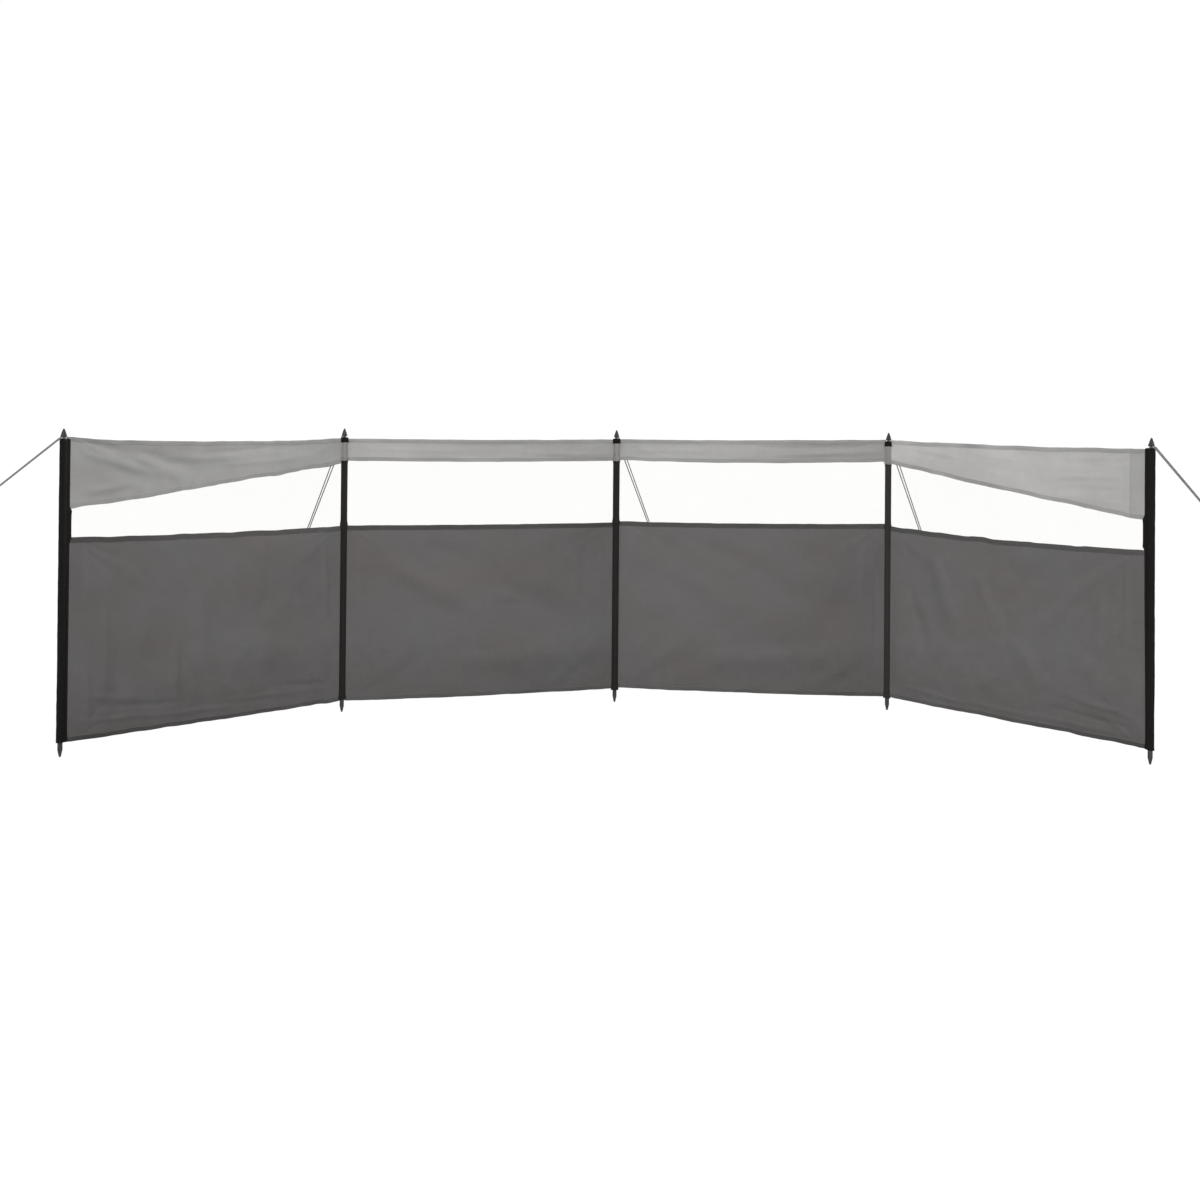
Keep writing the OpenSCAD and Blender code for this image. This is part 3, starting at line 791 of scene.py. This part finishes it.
world = bpy.data.worlds.new("studio")
scene.world = world
world.use_nodes = True
wt = world.node_tree
wt.nodes.clear()
w_out = wt.nodes.new("ShaderNodeOutputWorld")
w_soft = wt.nodes.new("ShaderNodeBackground")
w_soft.inputs["Color"].default_value = (1.0, 0.995, 0.985, 1.0)
w_soft.inputs["Strength"].default_value = 0.35
w_back = wt.nodes.new("ShaderNodeBackground")
w_back.inputs["Color"].default_value = (1.0, 1.0, 1.0, 1.0)
w_back.inputs["Strength"].default_value = 1.006
w_path = wt.nodes.new("ShaderNodeLightPath")
w_mix = wt.nodes.new("ShaderNodeMixShader")
wt.links.new(w_path.outputs["Is Camera Ray"], w_mix.inputs[0])
wt.links.new(w_soft.outputs[0], w_mix.inputs[1])
wt.links.new(w_back.outputs[0], w_mix.inputs[2])
wt.links.new(w_mix.outputs[0], w_out.inputs[0])


def sun(name, towards, strength, angle):
    light = bpy.data.lights.new(name, "SUN")
    light.energy = strength
    light.angle = rad(angle)
    ob = bpy.data.objects.new(name, light)
    ob.rotation_euler = Vector(towards).to_track_quat("Z", "Y").to_euler()
    scene.collection.objects.link(ob)


def towards(azimuth, elevation):
    """Direction from the object: azimuth 0 to the front, turning to the right."""
    a, e = rad(azimuth), rad(elevation)
    return (math.sin(a) * math.cos(e), -math.cos(a) * math.cos(e), math.sin(e))


sun("front_light", towards(0.0, 38.0), 1.40, 34.0)
sun("left_light", towards(-75.0, 34.0), 0.90, 40.0)
sun("right_light", towards(65.0, 34.0), 0.50, 40.0)
sun("back_right_light", towards(118.0, 12.0), 1.90, 20.0)
sun("back_left_light", towards(-155.0, 16.0), 0.45, 30.0)

n_f = 96
ring = np.arange(n_f) * 2 * math.pi / n_f
fl_v, fl_q = [], []
for k, r in enumerate((0.02, 2.0, 6.0, 16.0, 40.0, 110.0)):
    fl_v += [(r * math.cos(a), r * math.sin(a), 0.0) for a in ring]
    if k:
        fl_q += [((k - 1) * n_f + j, k * n_f + j, k * n_f + (j + 1) % n_f, (k - 1) * n_f + (j + 1) % n_f) for j in range(n_f)]
fl_q_tris = [(0, j, j + 1) for j in range(1, n_f - 1)]
fm = Mat("floor_mat")
fn = fm.noise(fm.scaled(fm.obj(), (1.5, 1.5, 1.5)), 1.0, 3.0)
fp = fm.principled(Base_Color=fm.mix(fn, (0.54, 0.54, 0.535), (0.57, 0.57, 0.565)), Roughness=0.9, Specular_IOR_Level=0.05)
fe = fm.node("ShaderNodeEmission")
fe.inputs["Strength"].default_value = 1.10
fl = fm.node("ShaderNodeLightPath")
fx = fm.node("ShaderNodeMixShader")
fm.put(fx.inputs[0], fm.math("MULTIPLY", fl.outputs["Is Camera Ray"], 0.88))
fm.t.links.new(fp.outputs[0], fx.inputs[1])
fm.t.links.new(fe.outputs[0], fx.inputs[2])
fm.done(fx.outputs[0])
floor = make("floor", np.array(fl_v) + np.array([0, 0, -0.0004]), fl_q, fl_q_tris, None, None, [fm.m])


# ---------------------------------------------------------------- guy lines, end to end
def local_to_world(i, p):
    a = rad(GUY_DIR[i])
    p = np.asarray(p, float)
    x, y = p[..., 0], p[..., 1]
    return np.stack([POLE[i][0] + x * math.cos(a) - y * math.sin(a), POLE[i][1] + x * math.sin(a) + y * math.cos(a), p[..., 2]], -1)


class Guy:
    def __init__(self, R):
        b0 = math.atan2(ZT - Z_PEG, R - SLEEVE_R)
        self.R = R
        self.b = math.atan2(ZT + RIM * math.cos(b0) - Z_PEG, R - SLEEVE_R - RIM * math.sin(b0))
        self.down = np.array([math.cos(self.b), 0, -math.sin(self.b)])
        self.up = np.array([math.sin(self.b), 0, math.cos(self.b)])
        self.L = float(np.linalg.norm(np.array([R, 0, Z_PEG]) - self.rim(self.b, 0)))

    def rim(self, b, y):
        return np.array([SLEEVE_R + RIM * math.sin(b), y, ZT + RIM * math.cos(b)])

    def on(self, s, y=0.0, n=0.0):
        return self.rim(self.b, 0) + self.down * s + np.array([0, y, 0]) + self.up * n

    def line(self):
        h, s, L = RUN_H, RUN_AT, self.L
        p = [self.on(s + 0.0150, 0.0088), self.on(s + 0.0085, 0.0062), self.on(s + 0.003, h), self.on(s - 0.008, h), self.on(s - 0.06, h - 0.0002), self.on(0.040, LOOP_R + 0.0003)]
        p += [self.rim(self.b * w, LOOP_R) for w in (1, 0.75, 0.5, 0.25, 0)]
        p += [np.array([LOOP_R * math.cos(rad(w)), LOOP_R * math.sin(rad(w)), ZT + RIM]) for w in range(90, 271, 30)]
        p += [self.rim(self.b * w, -LOOP_R) for w in (0, 0.25, 0.5, 0.75, 1)]
        p += [self.on(0.040, -LOOP_R - 0.0003), self.on(s - 0.06, -h + 0.0002), self.on(s - 0.008, -h), self.on(s + 0.010, -h), self.on(s + 0.05, -h * 0.42), self.on(s + 0.090, 0), self.on(s + 0.14, 0)]
        p += [self.on(s + 0.14 + (L - 0.14 - s - 0.14) * k / 6.0, 0) for k in range(1, 7)]
        p += [self.on(L - 0.110, 0), self.on(L - 0.064, LAY), self.on(L - 0.018, EYE_R - 0.0005)]
        p += [self.on(L + EYE_R * math.cos(rad(w)), EYE_R * math.sin(rad(w))) for w in range(90, -91, -30)]
        p += [self.on(L - 0.018, 0.0005 - EYE_R), self.on(L - 0.060, -LAY), self.on(L - 0.074, -LAY - 0.0001)]
        return np.array(p)


for i, name in enumerate(POLES):
    g = Guy(GUY_REACH[i])
    bag = Bag()
    rope(bag, local_to_world(i, g.line()), ROPE_R)
    # stopper knot below the runner
    c = g.on(RUN_AT + 0.0165, 0.0088)
    k = np.linspace(0, 2 * math.pi, 60, endpoint=False)
    tre = np.stack([np.sin(k) + 2 * np.sin(2 * k), np.cos(k) - 2 * np.cos(2 * k), -np.sin(3 * k)], -1) * 0.00175
    kn = c + tre[:, :1] * np.array([[0, 1.0, 0]]) + tre[:, 1:2] * g.up + tre[:, 2:] * 1.9 * g.down
    rope(bag, local_to_world(i, np.concatenate([kn, kn[:1]])), 0.0022, 0.0012, 10)
    rope(bag, local_to_world(i, [g.on(RUN_AT + 0.018, 0.0088), g.on(RUN_AT + 0.028, 0.0102, 0.0012), g.on(RUN_AT + 0.042, 0.0132, 0.001)]), 0.0024, 0.0012, 12)
    # lashing that holds the eye at the peg
    turns, a0, a1 = 9.0, g.L - 0.073, g.L - 0.048
    k = np.linspace(0, 1, int(turns * 18))
    hel = np.array([g.on(a0 + (a1 - a0) * x, 0.0065 * math.cos(2 * math.pi * turns * x), 0.0039 * math.sin(2 * math.pi * turns * x)) for x in k])
    rope(bag, local_to_world(i, hel), 0.00125, 0.0010, 8, 0.006, 2)
    piece = bag.build(name + "_line", [CORD])
    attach(piece, "root")
    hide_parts(name + "_guy")

    # wire peg, bent to a hook
    o = np.array([g.R, 0, Z_PEG])
    pts = [o - g.up * (Z_PEG / math.cos(g.b)), o - g.up * 0.012, o + g.up * 0.006]
    pts += [o + g.up * 0.012 + g.down * 0.008 + (g.down * math.cos(rad(w)) + g.up * math.sin(rad(w))) * 0.008 for w in range(180, -1, -20)]
    pts += [o + g.up * 0.005 + g.down * 0.016]
    rings, uv = rod(None, local_to_world(i, pts), PEG_R, 0.0012, 18)
    # the foot is cut level with the ground
    axis = local_to_world(i, o + g.up) - local_to_world(i, o)
    for r in range(len(rings)):
        low = rings[r][:, 2] < 0.0
        rings[r][low] -= axis * (rings[r][low][:, 2:3] / axis[2])
    first = rings[0].copy()
    first -= axis * (first[:, 2:3] / axis[2])
    rings[0] = first
    tip = [rings[-1].mean(0) + (rings[-1] - rings[-1].mean(0)) * f + (rings[-1].mean(0) - rings[-2].mean(0)) / 0.0012 * d
           for f, d in ((0.94, 0.0005), (0.75, 0.0010), (0.42, 0.0013))]
    rings = np.concatenate([rings, np.array(tip)])
    uv = np.concatenate([uv, np.repeat(uv[-1:], 3, 0)])
    bag = Bag()
    loft(bag, rings, uv)
    piece = bag.build(name + "_peg_wire", [ZINC])
    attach(piece, "root")
    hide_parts(name + "_peg")


# ---------------------------------------------------------------- cloth of the bays
def rows_between(z0, z1, step):
    n = max(2, int(round((z1 - z0) / step)) + 1)
    return np.linspace(z0, z1, n)


def hem_rows(edge, inward, hem=HEM):
    """Offsets from an edge through a turned hem, from the fold to past the sewn lip."""
    return [edge + inward * d for d in (0.0, 0.0008, 0.004, 0.008, hem - 0.0048, hem - 0.0036, hem - 0.0024, hem - 0.0008, hem - 0.0002, hem + 0.0003, hem + 0.003)]


def hem_half(d, u, b, seed, hem=HEM):
    """Half thickness at d inside an edge."""
    puff = 0.00100 + 0.00022 * noise2(u * 60 + b * 3.3, np.full_like(u, seed + 0.5), seed)
    puff = puff * smooth(U0[b], U0[b] + 0.005, u) * smooth(-U1[b], 0.005 - U1[b], -u)
    body = CLOTH_T + puff * (1 - 0.55 * np.exp(-((d - (hem - 0.0036)) / 0.0014) ** 2))
    return np.where(d <= hem, body, CLOTH_T)


def columns(b, u0, u1, step):
    """Columns of a bay's cloth, with a few close ones where it leaves the seams."""
    a, z = U0[b], U1[b]
    mid = np.linspace(a + 0.006, z - 0.006, int(round((z - a - 0.012) / step)) + 1)
    return np.concatenate([[u0, a - 0.0012, a + 0.0008, a + 0.0032], mid, [z - 0.0032, z - 0.0008, z + 0.0012, u1]])


def stitch_row(bag, b, u, z, seed, along="u", hem=HEM):
    """Stitches on both faces, in the groove of a hem."""
    p, tu, tz, n = frame_at(b, u, z)
    t = tu if along == "u" else tz
    if along == "slope":
        t = np.gradient(p, axis=0)
        t /= np.linalg.norm(t, axis=1, keepdims=True)
    h = hem_half(np.full_like(u, hem - 0.0036), u, b, seed, hem)[:, None]
    stitches(bag, p + n * h, t, n)
    stitches(bag, p - n * h, t, -n)


# painted light and shade, standing in for how the light falls across each bay: how much the cloth is darkened
# (lightened where negative) at the left and right of each bay, in the band also letting less light through, and over
# which shares of the bay it changes
DARK_PAINTED_SHADE = [(0.24, 0.0, 0.0, 0.60), (0.0, 0.22, 0.30, 1.0), (0.0, 0.22, 0.30, 1.0), (0.0, 0.12, 0.40, 1.0)]
LIGHT_PAINTED_SHADE = [(2.05, 0.50, 0.0, 0.70), (-0.20, 0.80, 0.25, 1.0), (0.40, 1.25, 0.35, 1.0), (0.0, 0.25, 0.45, 0.95)]


def painted_shade(b, s, of):
    left, right, a, c = of[b]
    return left + (right - left) * smooth(a, c, s)


for b, name in enumerate(BAYS):
    ul, ur = (0.011, W - 0.011)
    # lower panel: one sheet with a turned hem at the top and at the bottom
    u = columns(b, ul, ur, 0.0080)
    low = hem_rows(ZB, 1)
    top = hem_rows(ZP, -1, HEM_P)[::-1]
    z = np.concatenate([low, rows_between(low[-1], top[0], 0.0080)[1:-1], top])
    uu, zz = np.meshgrid(u, z)
    p = point(b, uu, zz)
    db, dt = zz - ZB, ZP - zz
    half = np.maximum(hem_half(db, uu, b, 2), hem_half(dt, uu, b, 4, HEM_P))
    s = np.clip(uu / W, 0, 1)
    # painted shade along the bottom and top hems of the panel, for their doubled cloth and stitches, varying along each
    # bay
    low_hem_shade = ((0.95 - 0.40 * s, 0.12 + 0.25 * s, 0.12 + 0.40 * s ** 2, 0.35 + 0.55 * s)[b]
                + 0.30 * noise2(uu * 9.0 + 2.3 * b, np.full_like(uu, 0.5), 91))
    top_hem_shade = (0.95 - 0.20 * s, 1.05 + 0 * s, 1.0 + 0 * s, 1.0 - 0.30 * s)[b] + 0.12 * noise2(uu * 6.0 - 1.3 * b, np.full_like(uu, 0.5), 93)
    # the panel's hem attribute: painted shade along the bay, plus the painted shade of its hems
    hem = painted_shade(b, s, DARK_PAINTED_SHADE) + np.where(dt <= HEM_P, top_hem_shade, np.where(db <= HEM, np.clip(low_hem_shade, 0, 1.2), 0.0))
    bag = Bag()
    shell(bag, p, half, np.stack([uu + 3.1 * b, zz], -1), hem)
    panel = bag.build(name + "_panel_cloth", [DARK])
    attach(panel, "root")
    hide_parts(name + "_panel")
    bag = Bag()
    us = np.arange(U0[b] + 0.004, U1[b] - 0.004, 0.0068)
    stitch_row(bag, b, us, np.full_like(us, ZB + HEM - 0.0036), 2)
    stitch_row(bag, b, us, np.full_like(us, ZP - HEM_P + 0.0036), 4, hem=HEM_P)
    sewn = bag.build(name + "_panel_stitching", [T_DARK])
    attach(sewn, "root")

    # clear window
    u = columns(b, ul, ur, 0.0125)
    nz = 27
    uu = np.repeat(u[None, :], nz, 0)
    lo = z_low(b, uu)
    t = np.linspace(0, 1, nz)[:, None]
    zz = (ZP - 0.007) + (lo + 0.007 - (ZP - 0.007)) * t
    body = np.sin(math.pi * t) ** 0.8 * np.clip(np.minimum(uu - 0.02, W - 0.02 - uu) / 0.06, 0, 1)
    wave = body * (0.0030 * fbm(uu * 4.5 + 7 * b, zz * 5.0, 71 + b, 2) + 0.0012 * fbm(uu * 10 + zz * 9.0, zz * 6.0, 77 + b, 2))
    bag = Bag()
    shell(bag, point(b, uu, zz, wave), FILM_T, np.stack([uu + 3.1 * b, zz], -1), np.zeros_like(uu))
    window = bag.build(name + "_window_film", [FILM])
    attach(window, "root")
    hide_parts(name + "_window")

    # light top band
    u = columns(b, ul, ur, 0.0092)
    strip = 0.054 if b == 3 else 0.0
    if strip:
        s_at = U1[3] - strip
        u = np.sort(np.concatenate([u[np.abs(u - s_at) > 0.003], [s_at - 0.0003, s_at + 0.0002, s_at + 0.003]]))
    lo1 = z_low(b, u)
    d_low = np.array(hem_rows(0.0, 1))
    d_top = np.array(hem_rows(0.0, -1))[::-1]
    n_mid = 24 if b in (0, 3) else 9
    mid = np.linspace(0, 1, n_mid + 2)[1:-1]
    za = lo1[None, :] + d_low[:, None]
    zc = ZT + d_top[:, None] + 0 * lo1[None, :]
    zm = za[-1] + (zc[0] - za[-1]) * mid[:, None]
    zz = np.concatenate([za, zm, zc])
    uu = np.repeat(u[None, :], len(zz), 0)
    p = point(b, uu, zz)
    db, dt = zz - z_low(b, uu), ZT - zz
    half = np.maximum(hem_half(db, uu, b, 6), hem_half(dt, uu, b, 8))
    s = np.clip(uu / W, 0, 1)
    v = np.clip(db / (ZT - z_low(b, uu)), 0, 1)
    # the band's hem attribute: painted light and shade along the bay, the turned hems and a random tone
    turned = 1.05 + 0.75 * noise2(uu * 11.0 + 4.7 * b, np.where(dt <= HEM, 0.5, 3.5), 95)
    hem = painted_shade(b, s, LIGHT_PAINTED_SHADE) + np.where((db <= HEM) | (dt <= HEM), np.clip(turned, 0.25, 2.0), 0.0)
    hem = hem + 0.22 * noise2(uu * 5.0 + 2.9 * b, v * 1.6, 97)
    # painted shade: the left of the first band is darker at the top and lighter at the bottom, standing in for its back
    # lighting
    if b == 0:
        hem = hem + 1.25 * (2 * v - 1) * (1 - smooth(0.0, 0.5, s))
    if strip:
        inside = uu >= s_at
        half = np.where(inside, np.maximum(half, CLOTH_T + 0.0003), half)
        hem = np.where(inside, hem + 0.55, hem)
    bag = Bag()
    shell(bag, p, half, np.stack([uu + 3.1 * b, zz], -1), hem)
    band = bag.build(name + "_band_cloth", [LIGHT])
    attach(band, "root")
    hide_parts(name + "_band")
    bag = Bag()
    us = np.arange(U0[b] + 0.006, U1[b] - 0.006, 0.0068)
    stitch_row(bag, b, us, z_low(b, us) + HEM - 0.0036, 6, along="slope")
    stitch_row(bag, b, us, np.full_like(us, ZT - HEM + 0.0036), 8)
    if strip:
        zs = np.arange(float(z_low(3, np.array([s_at]))[0]) + 0.02, ZT - 0.018, 0.0068)
        q, tu, tz, n = frame_at(b, np.full_like(zs, s_at + 0.003), zs)
        for sg in (1, -1):
            stitches(bag, q + sg * n * (CLOTH_T + 0.0003), tz, sg * n)
    sewn = bag.build(name + "_band_stitching", [T_LIGHT])
    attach(sewn, "root")


# ---------------------------------------------------------------- sleeves and pole pockets
def section(theta, reach, r, half, ends, k=0.006):
    """Distance from the pole's axis to the outside of a sewn sleeve: a tube with flat seams towards the bays."""
    def outside(rr):
        x, y = rr * np.cos(theta), rr * np.sin(theta)
        d = rr - r
        for e in ends:
            t, w = x * e[0] + y * e[1], np.abs(-x * e[1] + y * e[0])
            qx, qy = np.abs(t - reach / 2) - reach / 2 + 0.0005, w - half + 0.0005
            box = np.hypot(np.maximum(qx, 0), np.maximum(qy, 0)) + np.minimum(np.maximum(qx, qy), 0) - 0.0005
            h = np.clip(0.5 + 0.5 * (box - d) / k, 0, 1)
            d = box * (1 - h) + d * h - k * h * (1 - h) * 0.55
        return d
    lo, hi = np.full_like(theta + reach, 0.004), np.full_like(theta + reach, 0.045)
    for _ in range(30):
        m = 0.5 * (lo + hi)
        inside = outside(m) < 0
        lo, hi = np.where(inside, m, lo), np.where(inside, hi, m)
    return 0.5 * (lo + hi)


def pole_ends(i):
    """Directions from pole i to its bays."""
    out = []
    if i > 0:
        out.append((-EU[i - 1][0][:2], i - 1, -1))
    if i < 4:
        out.append((EU[i][0][:2], i, 1))
    return out


def thetas(ends):
    t = list(np.linspace(-math.pi, math.pi, 41)[:-1])
    for e, _, _ in ends:
        a = math.atan2(e[1], e[0])
        t = [x for x in t if abs(math.atan2(math.sin(x - a), math.cos(x - a))) > rad(24)]
        t += [a + rad(d) for d in (-21, -16, -12, -9, -6.6, -5, -3.8, -2.4, -0.8, 0.8, 2.4, 3.8, 5, 6.6, 9, 12, 16, 21)]
    return np.sort(np.mod(np.array(t) + math.pi, 2 * math.pi) - math.pi)


def sleeve_piece(i, name, z0, z1, reach_of, r, half, mat, seed, closed_top, bore=0.0104, step=0.0095, lip=0.012, wrinkle=0.0004, slack=0.0, base=0.0):
    ends = pole_ends(i)
    th = thetas(ends)
    z = np.concatenate([[z0, z0 + 0.0006], np.linspace(z0 + 0.003, z0 + lip - 0.0002, 4), [z0 + lip + 0.0003],
                        np.arange(z0 + lip + 0.004, z1 - 0.004, step), [z1 - 0.0035]])
    tt, zz = np.meshgrid(th, z)
    rr = section(tt, reach_of(zz), r, half, [e for e, _, _ in ends])
    # creases of the cloth round the tube, none on the flat seams
    flat = np.zeros_like(tt)
    for e, _, _ in ends:
        a = math.atan2(e[1], e[0])
        flat = np.maximum(flat, np.exp(-(np.arctan2(np.sin(tt - a), np.cos(tt - a)) / rad(20)) ** 2))
    x, y = np.cos(tt) * 2.2, np.sin(tt) * 2.2
    cr = fbm(x + zz * 9, y + zz * 31, seed, 3) + 0.7 * noise2(x * 2 + 40 * zz, y * 1.5 - 22 * zz, seed + 3)
    rr = rr + (1 - flat) * wrinkle * cr
    if slack:
        # the pocket is wider than the pole, and its spare cloth stands off on the outer side
        a = math.atan2(-ends[0][0][1], -ends[0][0][0])
        off = np.arctan2(np.sin(tt - a), np.cos(tt - a))
        rr = rr + slack * (0.85 + 0.3 * noise2(zz * 6.0, np.full_like(zz, seed * 0.7), seed + 5)) * np.exp(-(off / rad(50)) ** 2)
    rr = rr + 0.0004 * (zz <= z0 + lip)
    hem = (zz <= z0 + lip).astype(float)
    rings, uvs, hems = [], [], []

    def put(radius, height, h):
        rings.append(np.stack([POLE[i][0] + radius * np.cos(th), POLE[i][1] + radius * np.sin(th), np.broadcast_to(height, th.shape)], -1))
        uvs.append(np.stack([th * r, np.broadcast_to(height, th.shape)], -1))
        hems.append(np.broadcast_to(base + h, th.shape))

    for k in range(len(z)):
        put(rr[k], z[k], hem[k])
    last = rr[-1]
    if closed_top:
        for q in (25, 50, 70, 84, 90):
            s, c = math.sin(rad(q)), math.cos(rad(q))
            put(last * (0.62 + 0.38 * c), z1 - 0.0035 + 0.0035 * s + 0.0002 * noise2(np.cos(th) * 3, np.sin(th) * 3, seed), 0.5)
        for f in (0.75, 0.5, 0.25):
            rad_in = last * 0.62
            put(0.0047 + (rad_in - 0.0047) * f, z1 + 0.0003 * noise2(np.cos(th) * 3 + f * 5, np.sin(th) * 3, seed), 0.5)
        put(np.full_like(th, 0.0046), z1 - 0.0003, 0.5)
        put(np.full_like(th, 0.0047), z1 - 0.0009, 0.5)
        put(np.full_like(th, bore), z1 - 0.0012, 0.0)
    else:
        put(last - 0.0003, z1 - 0.0006, 0.5)
        put(last - 0.0010, z1, 0.5)
        put(np.full_like(th, bore), z1, 0.0)
    for h in np.linspace(z1 - 0.01, z0 + 0.004, 12):
        put(np.full_like(th, bore), h, 0.0)
    put(np.full_like(th, bore), z0, 0.0)
    bag = Bag()
    loft(bag, np.array(rings), np.array(uvs), True, False, np.array(hems))
    return bag.build(name, [mat])


def reach_inner(z):
    """Seam width, with a gusset where the hems run in."""
    f = np.full_like(z, F_IN + 0.0002)
    f = f + 0.0030 * np.exp(-((z - (ZP - 0.006)) / 0.012) ** 2)
    f = f + 0.0022 * np.exp(-((z - (ZB + 0.008)) / 0.016) ** 2)
    f = f + 0.0022 * np.exp(-((z - Z_IN) / 0.010) ** 2)
    return f


def reach_end(i):
    """Seam width at the end poles: widest where it binds the film, less where the panel and the band lap over it."""
    taper = 0.0065 if i == 4 else 0.0

    def f(z):
        film_part = smooth(ZP - 0.016, ZP + 0.002, z) * (1 - smooth(Z_END - 0.002, Z_END + 0.016, z))
        return F_END + 0.0012 - 0.0070 * (1 - film_part) - taper * (1 - smooth(ZB, ZP, z)) + 0.0022 * np.exp(-((z - (ZP - 0.006)) / 0.012) ** 2) + 0.0020 * np.exp(-((z - Z_END) / 0.012) ** 2) + 0.0024 * np.exp(-((z - (ZB + 0.008)) / 0.016) ** 2)
    return f


def seam_stitches(bag, i, z0, z1, reach_of, half, back=0.0042, pitch=0.0068):
    zs = np.arange(z0, z1, pitch)
    for e, b, sgn in pole_ends(i):
        nrm = EU[b][1]
        t = reach_of(zs) - back
        p = np.stack([POLE[i][0] + e[0] * t, POLE[i][1] + e[1] * t, zs], -1)
        up = np.repeat(np.array([[0, 0, 1.0]]), len(zs), 0)
        for sg in (1, -1):
            n = np.repeat(sg * nrm[None, :], len(zs), 0)
            stitches(bag, p + n * (half + 0.0001), up, n)


SLEEVE_TONE = (0.0, -14.0, -14.0, -30.0, -2.0)   # how much lighter each pole's sleeve cloth is made: the inner sleeves lighter than the end ones

for i, name in enumerate(POLES):
    end = i in (0, 4)
    reach = reach_end(i) if end else reach_inner
    top = ZT if end else Z_IN + 0.006
    sl = sleeve_piece(i, name + "_sleeve_cloth", ZB - 0.0006, top, reach, SLEEVE_R - 0.0002, 0.0018, BLACK, 100 + i, end, slack=0.0036 if end else 0.0, base=SLEEVE_TONE[i])
    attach(sl, "root")
    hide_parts(name + "_sleeve")
    bag = Bag()
    seam_stitches(bag, i, ZB + 0.006, top - 0.008, reach, 0.0018)
    st = bag.build(name + "_sleeve_stitching", [T_BLACK])
    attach(st, "root")
    if not end:
        pocket_reach = lambda z: np.full_like(z, F_IN + 0.0020) + 0.002 * np.exp(-((z - (Z_IN + 0.004)) / 0.008) ** 2)
        po = sleeve_piece(i, name + "_pocket_cloth", Z_IN - 0.004, ZT - 0.0008, pocket_reach, SLEEVE_R + 0.0009, 0.0021, LIGHT, 200 + i, True,
                          bore=0.0128, step=0.006, lip=HEM, wrinkle=0.00045, base=-1.15)
        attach(po, "root")
        bag = Bag()
        seam_stitches(bag, i, Z_IN + 0.002, ZT - 0.026, pocket_reach, 0.0021)
        st = bag.build(name + "_pocket_stitching", [T_LIGHT])
        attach(st, "root")
        # black patch over the top of the pocket, where the neck of the cap comes through
        patch_reach = lambda z: np.full_like(z, F_IN + 0.0026) + 0.0012 * np.exp(-((z - (ZT - 0.022)) / 0.005) ** 2)
        pa = sleeve_piece(i, name + "_patch_cloth", ZT - 0.022, ZT + 0.0002, patch_reach, SLEEVE_R + 0.0020, 0.0030, BLACK, 300 + i, True,
                          bore=0.0138, step=0.004, lip=0.004, wrinkle=0.0003)
        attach(pa, "root")

# ---------------------------------------------------------------- the hard parts keep their construction
for name in POLES:
    for kind, mat in (("pole", STEEL), ("pin", PLAS), ("runner", PLAS)):
        ob = NODES[name + "_" + kind]
        for s in ob.material_slots:
            s.material = mat
        if not ob.material_slots:
            ob.data.materials.append(mat)
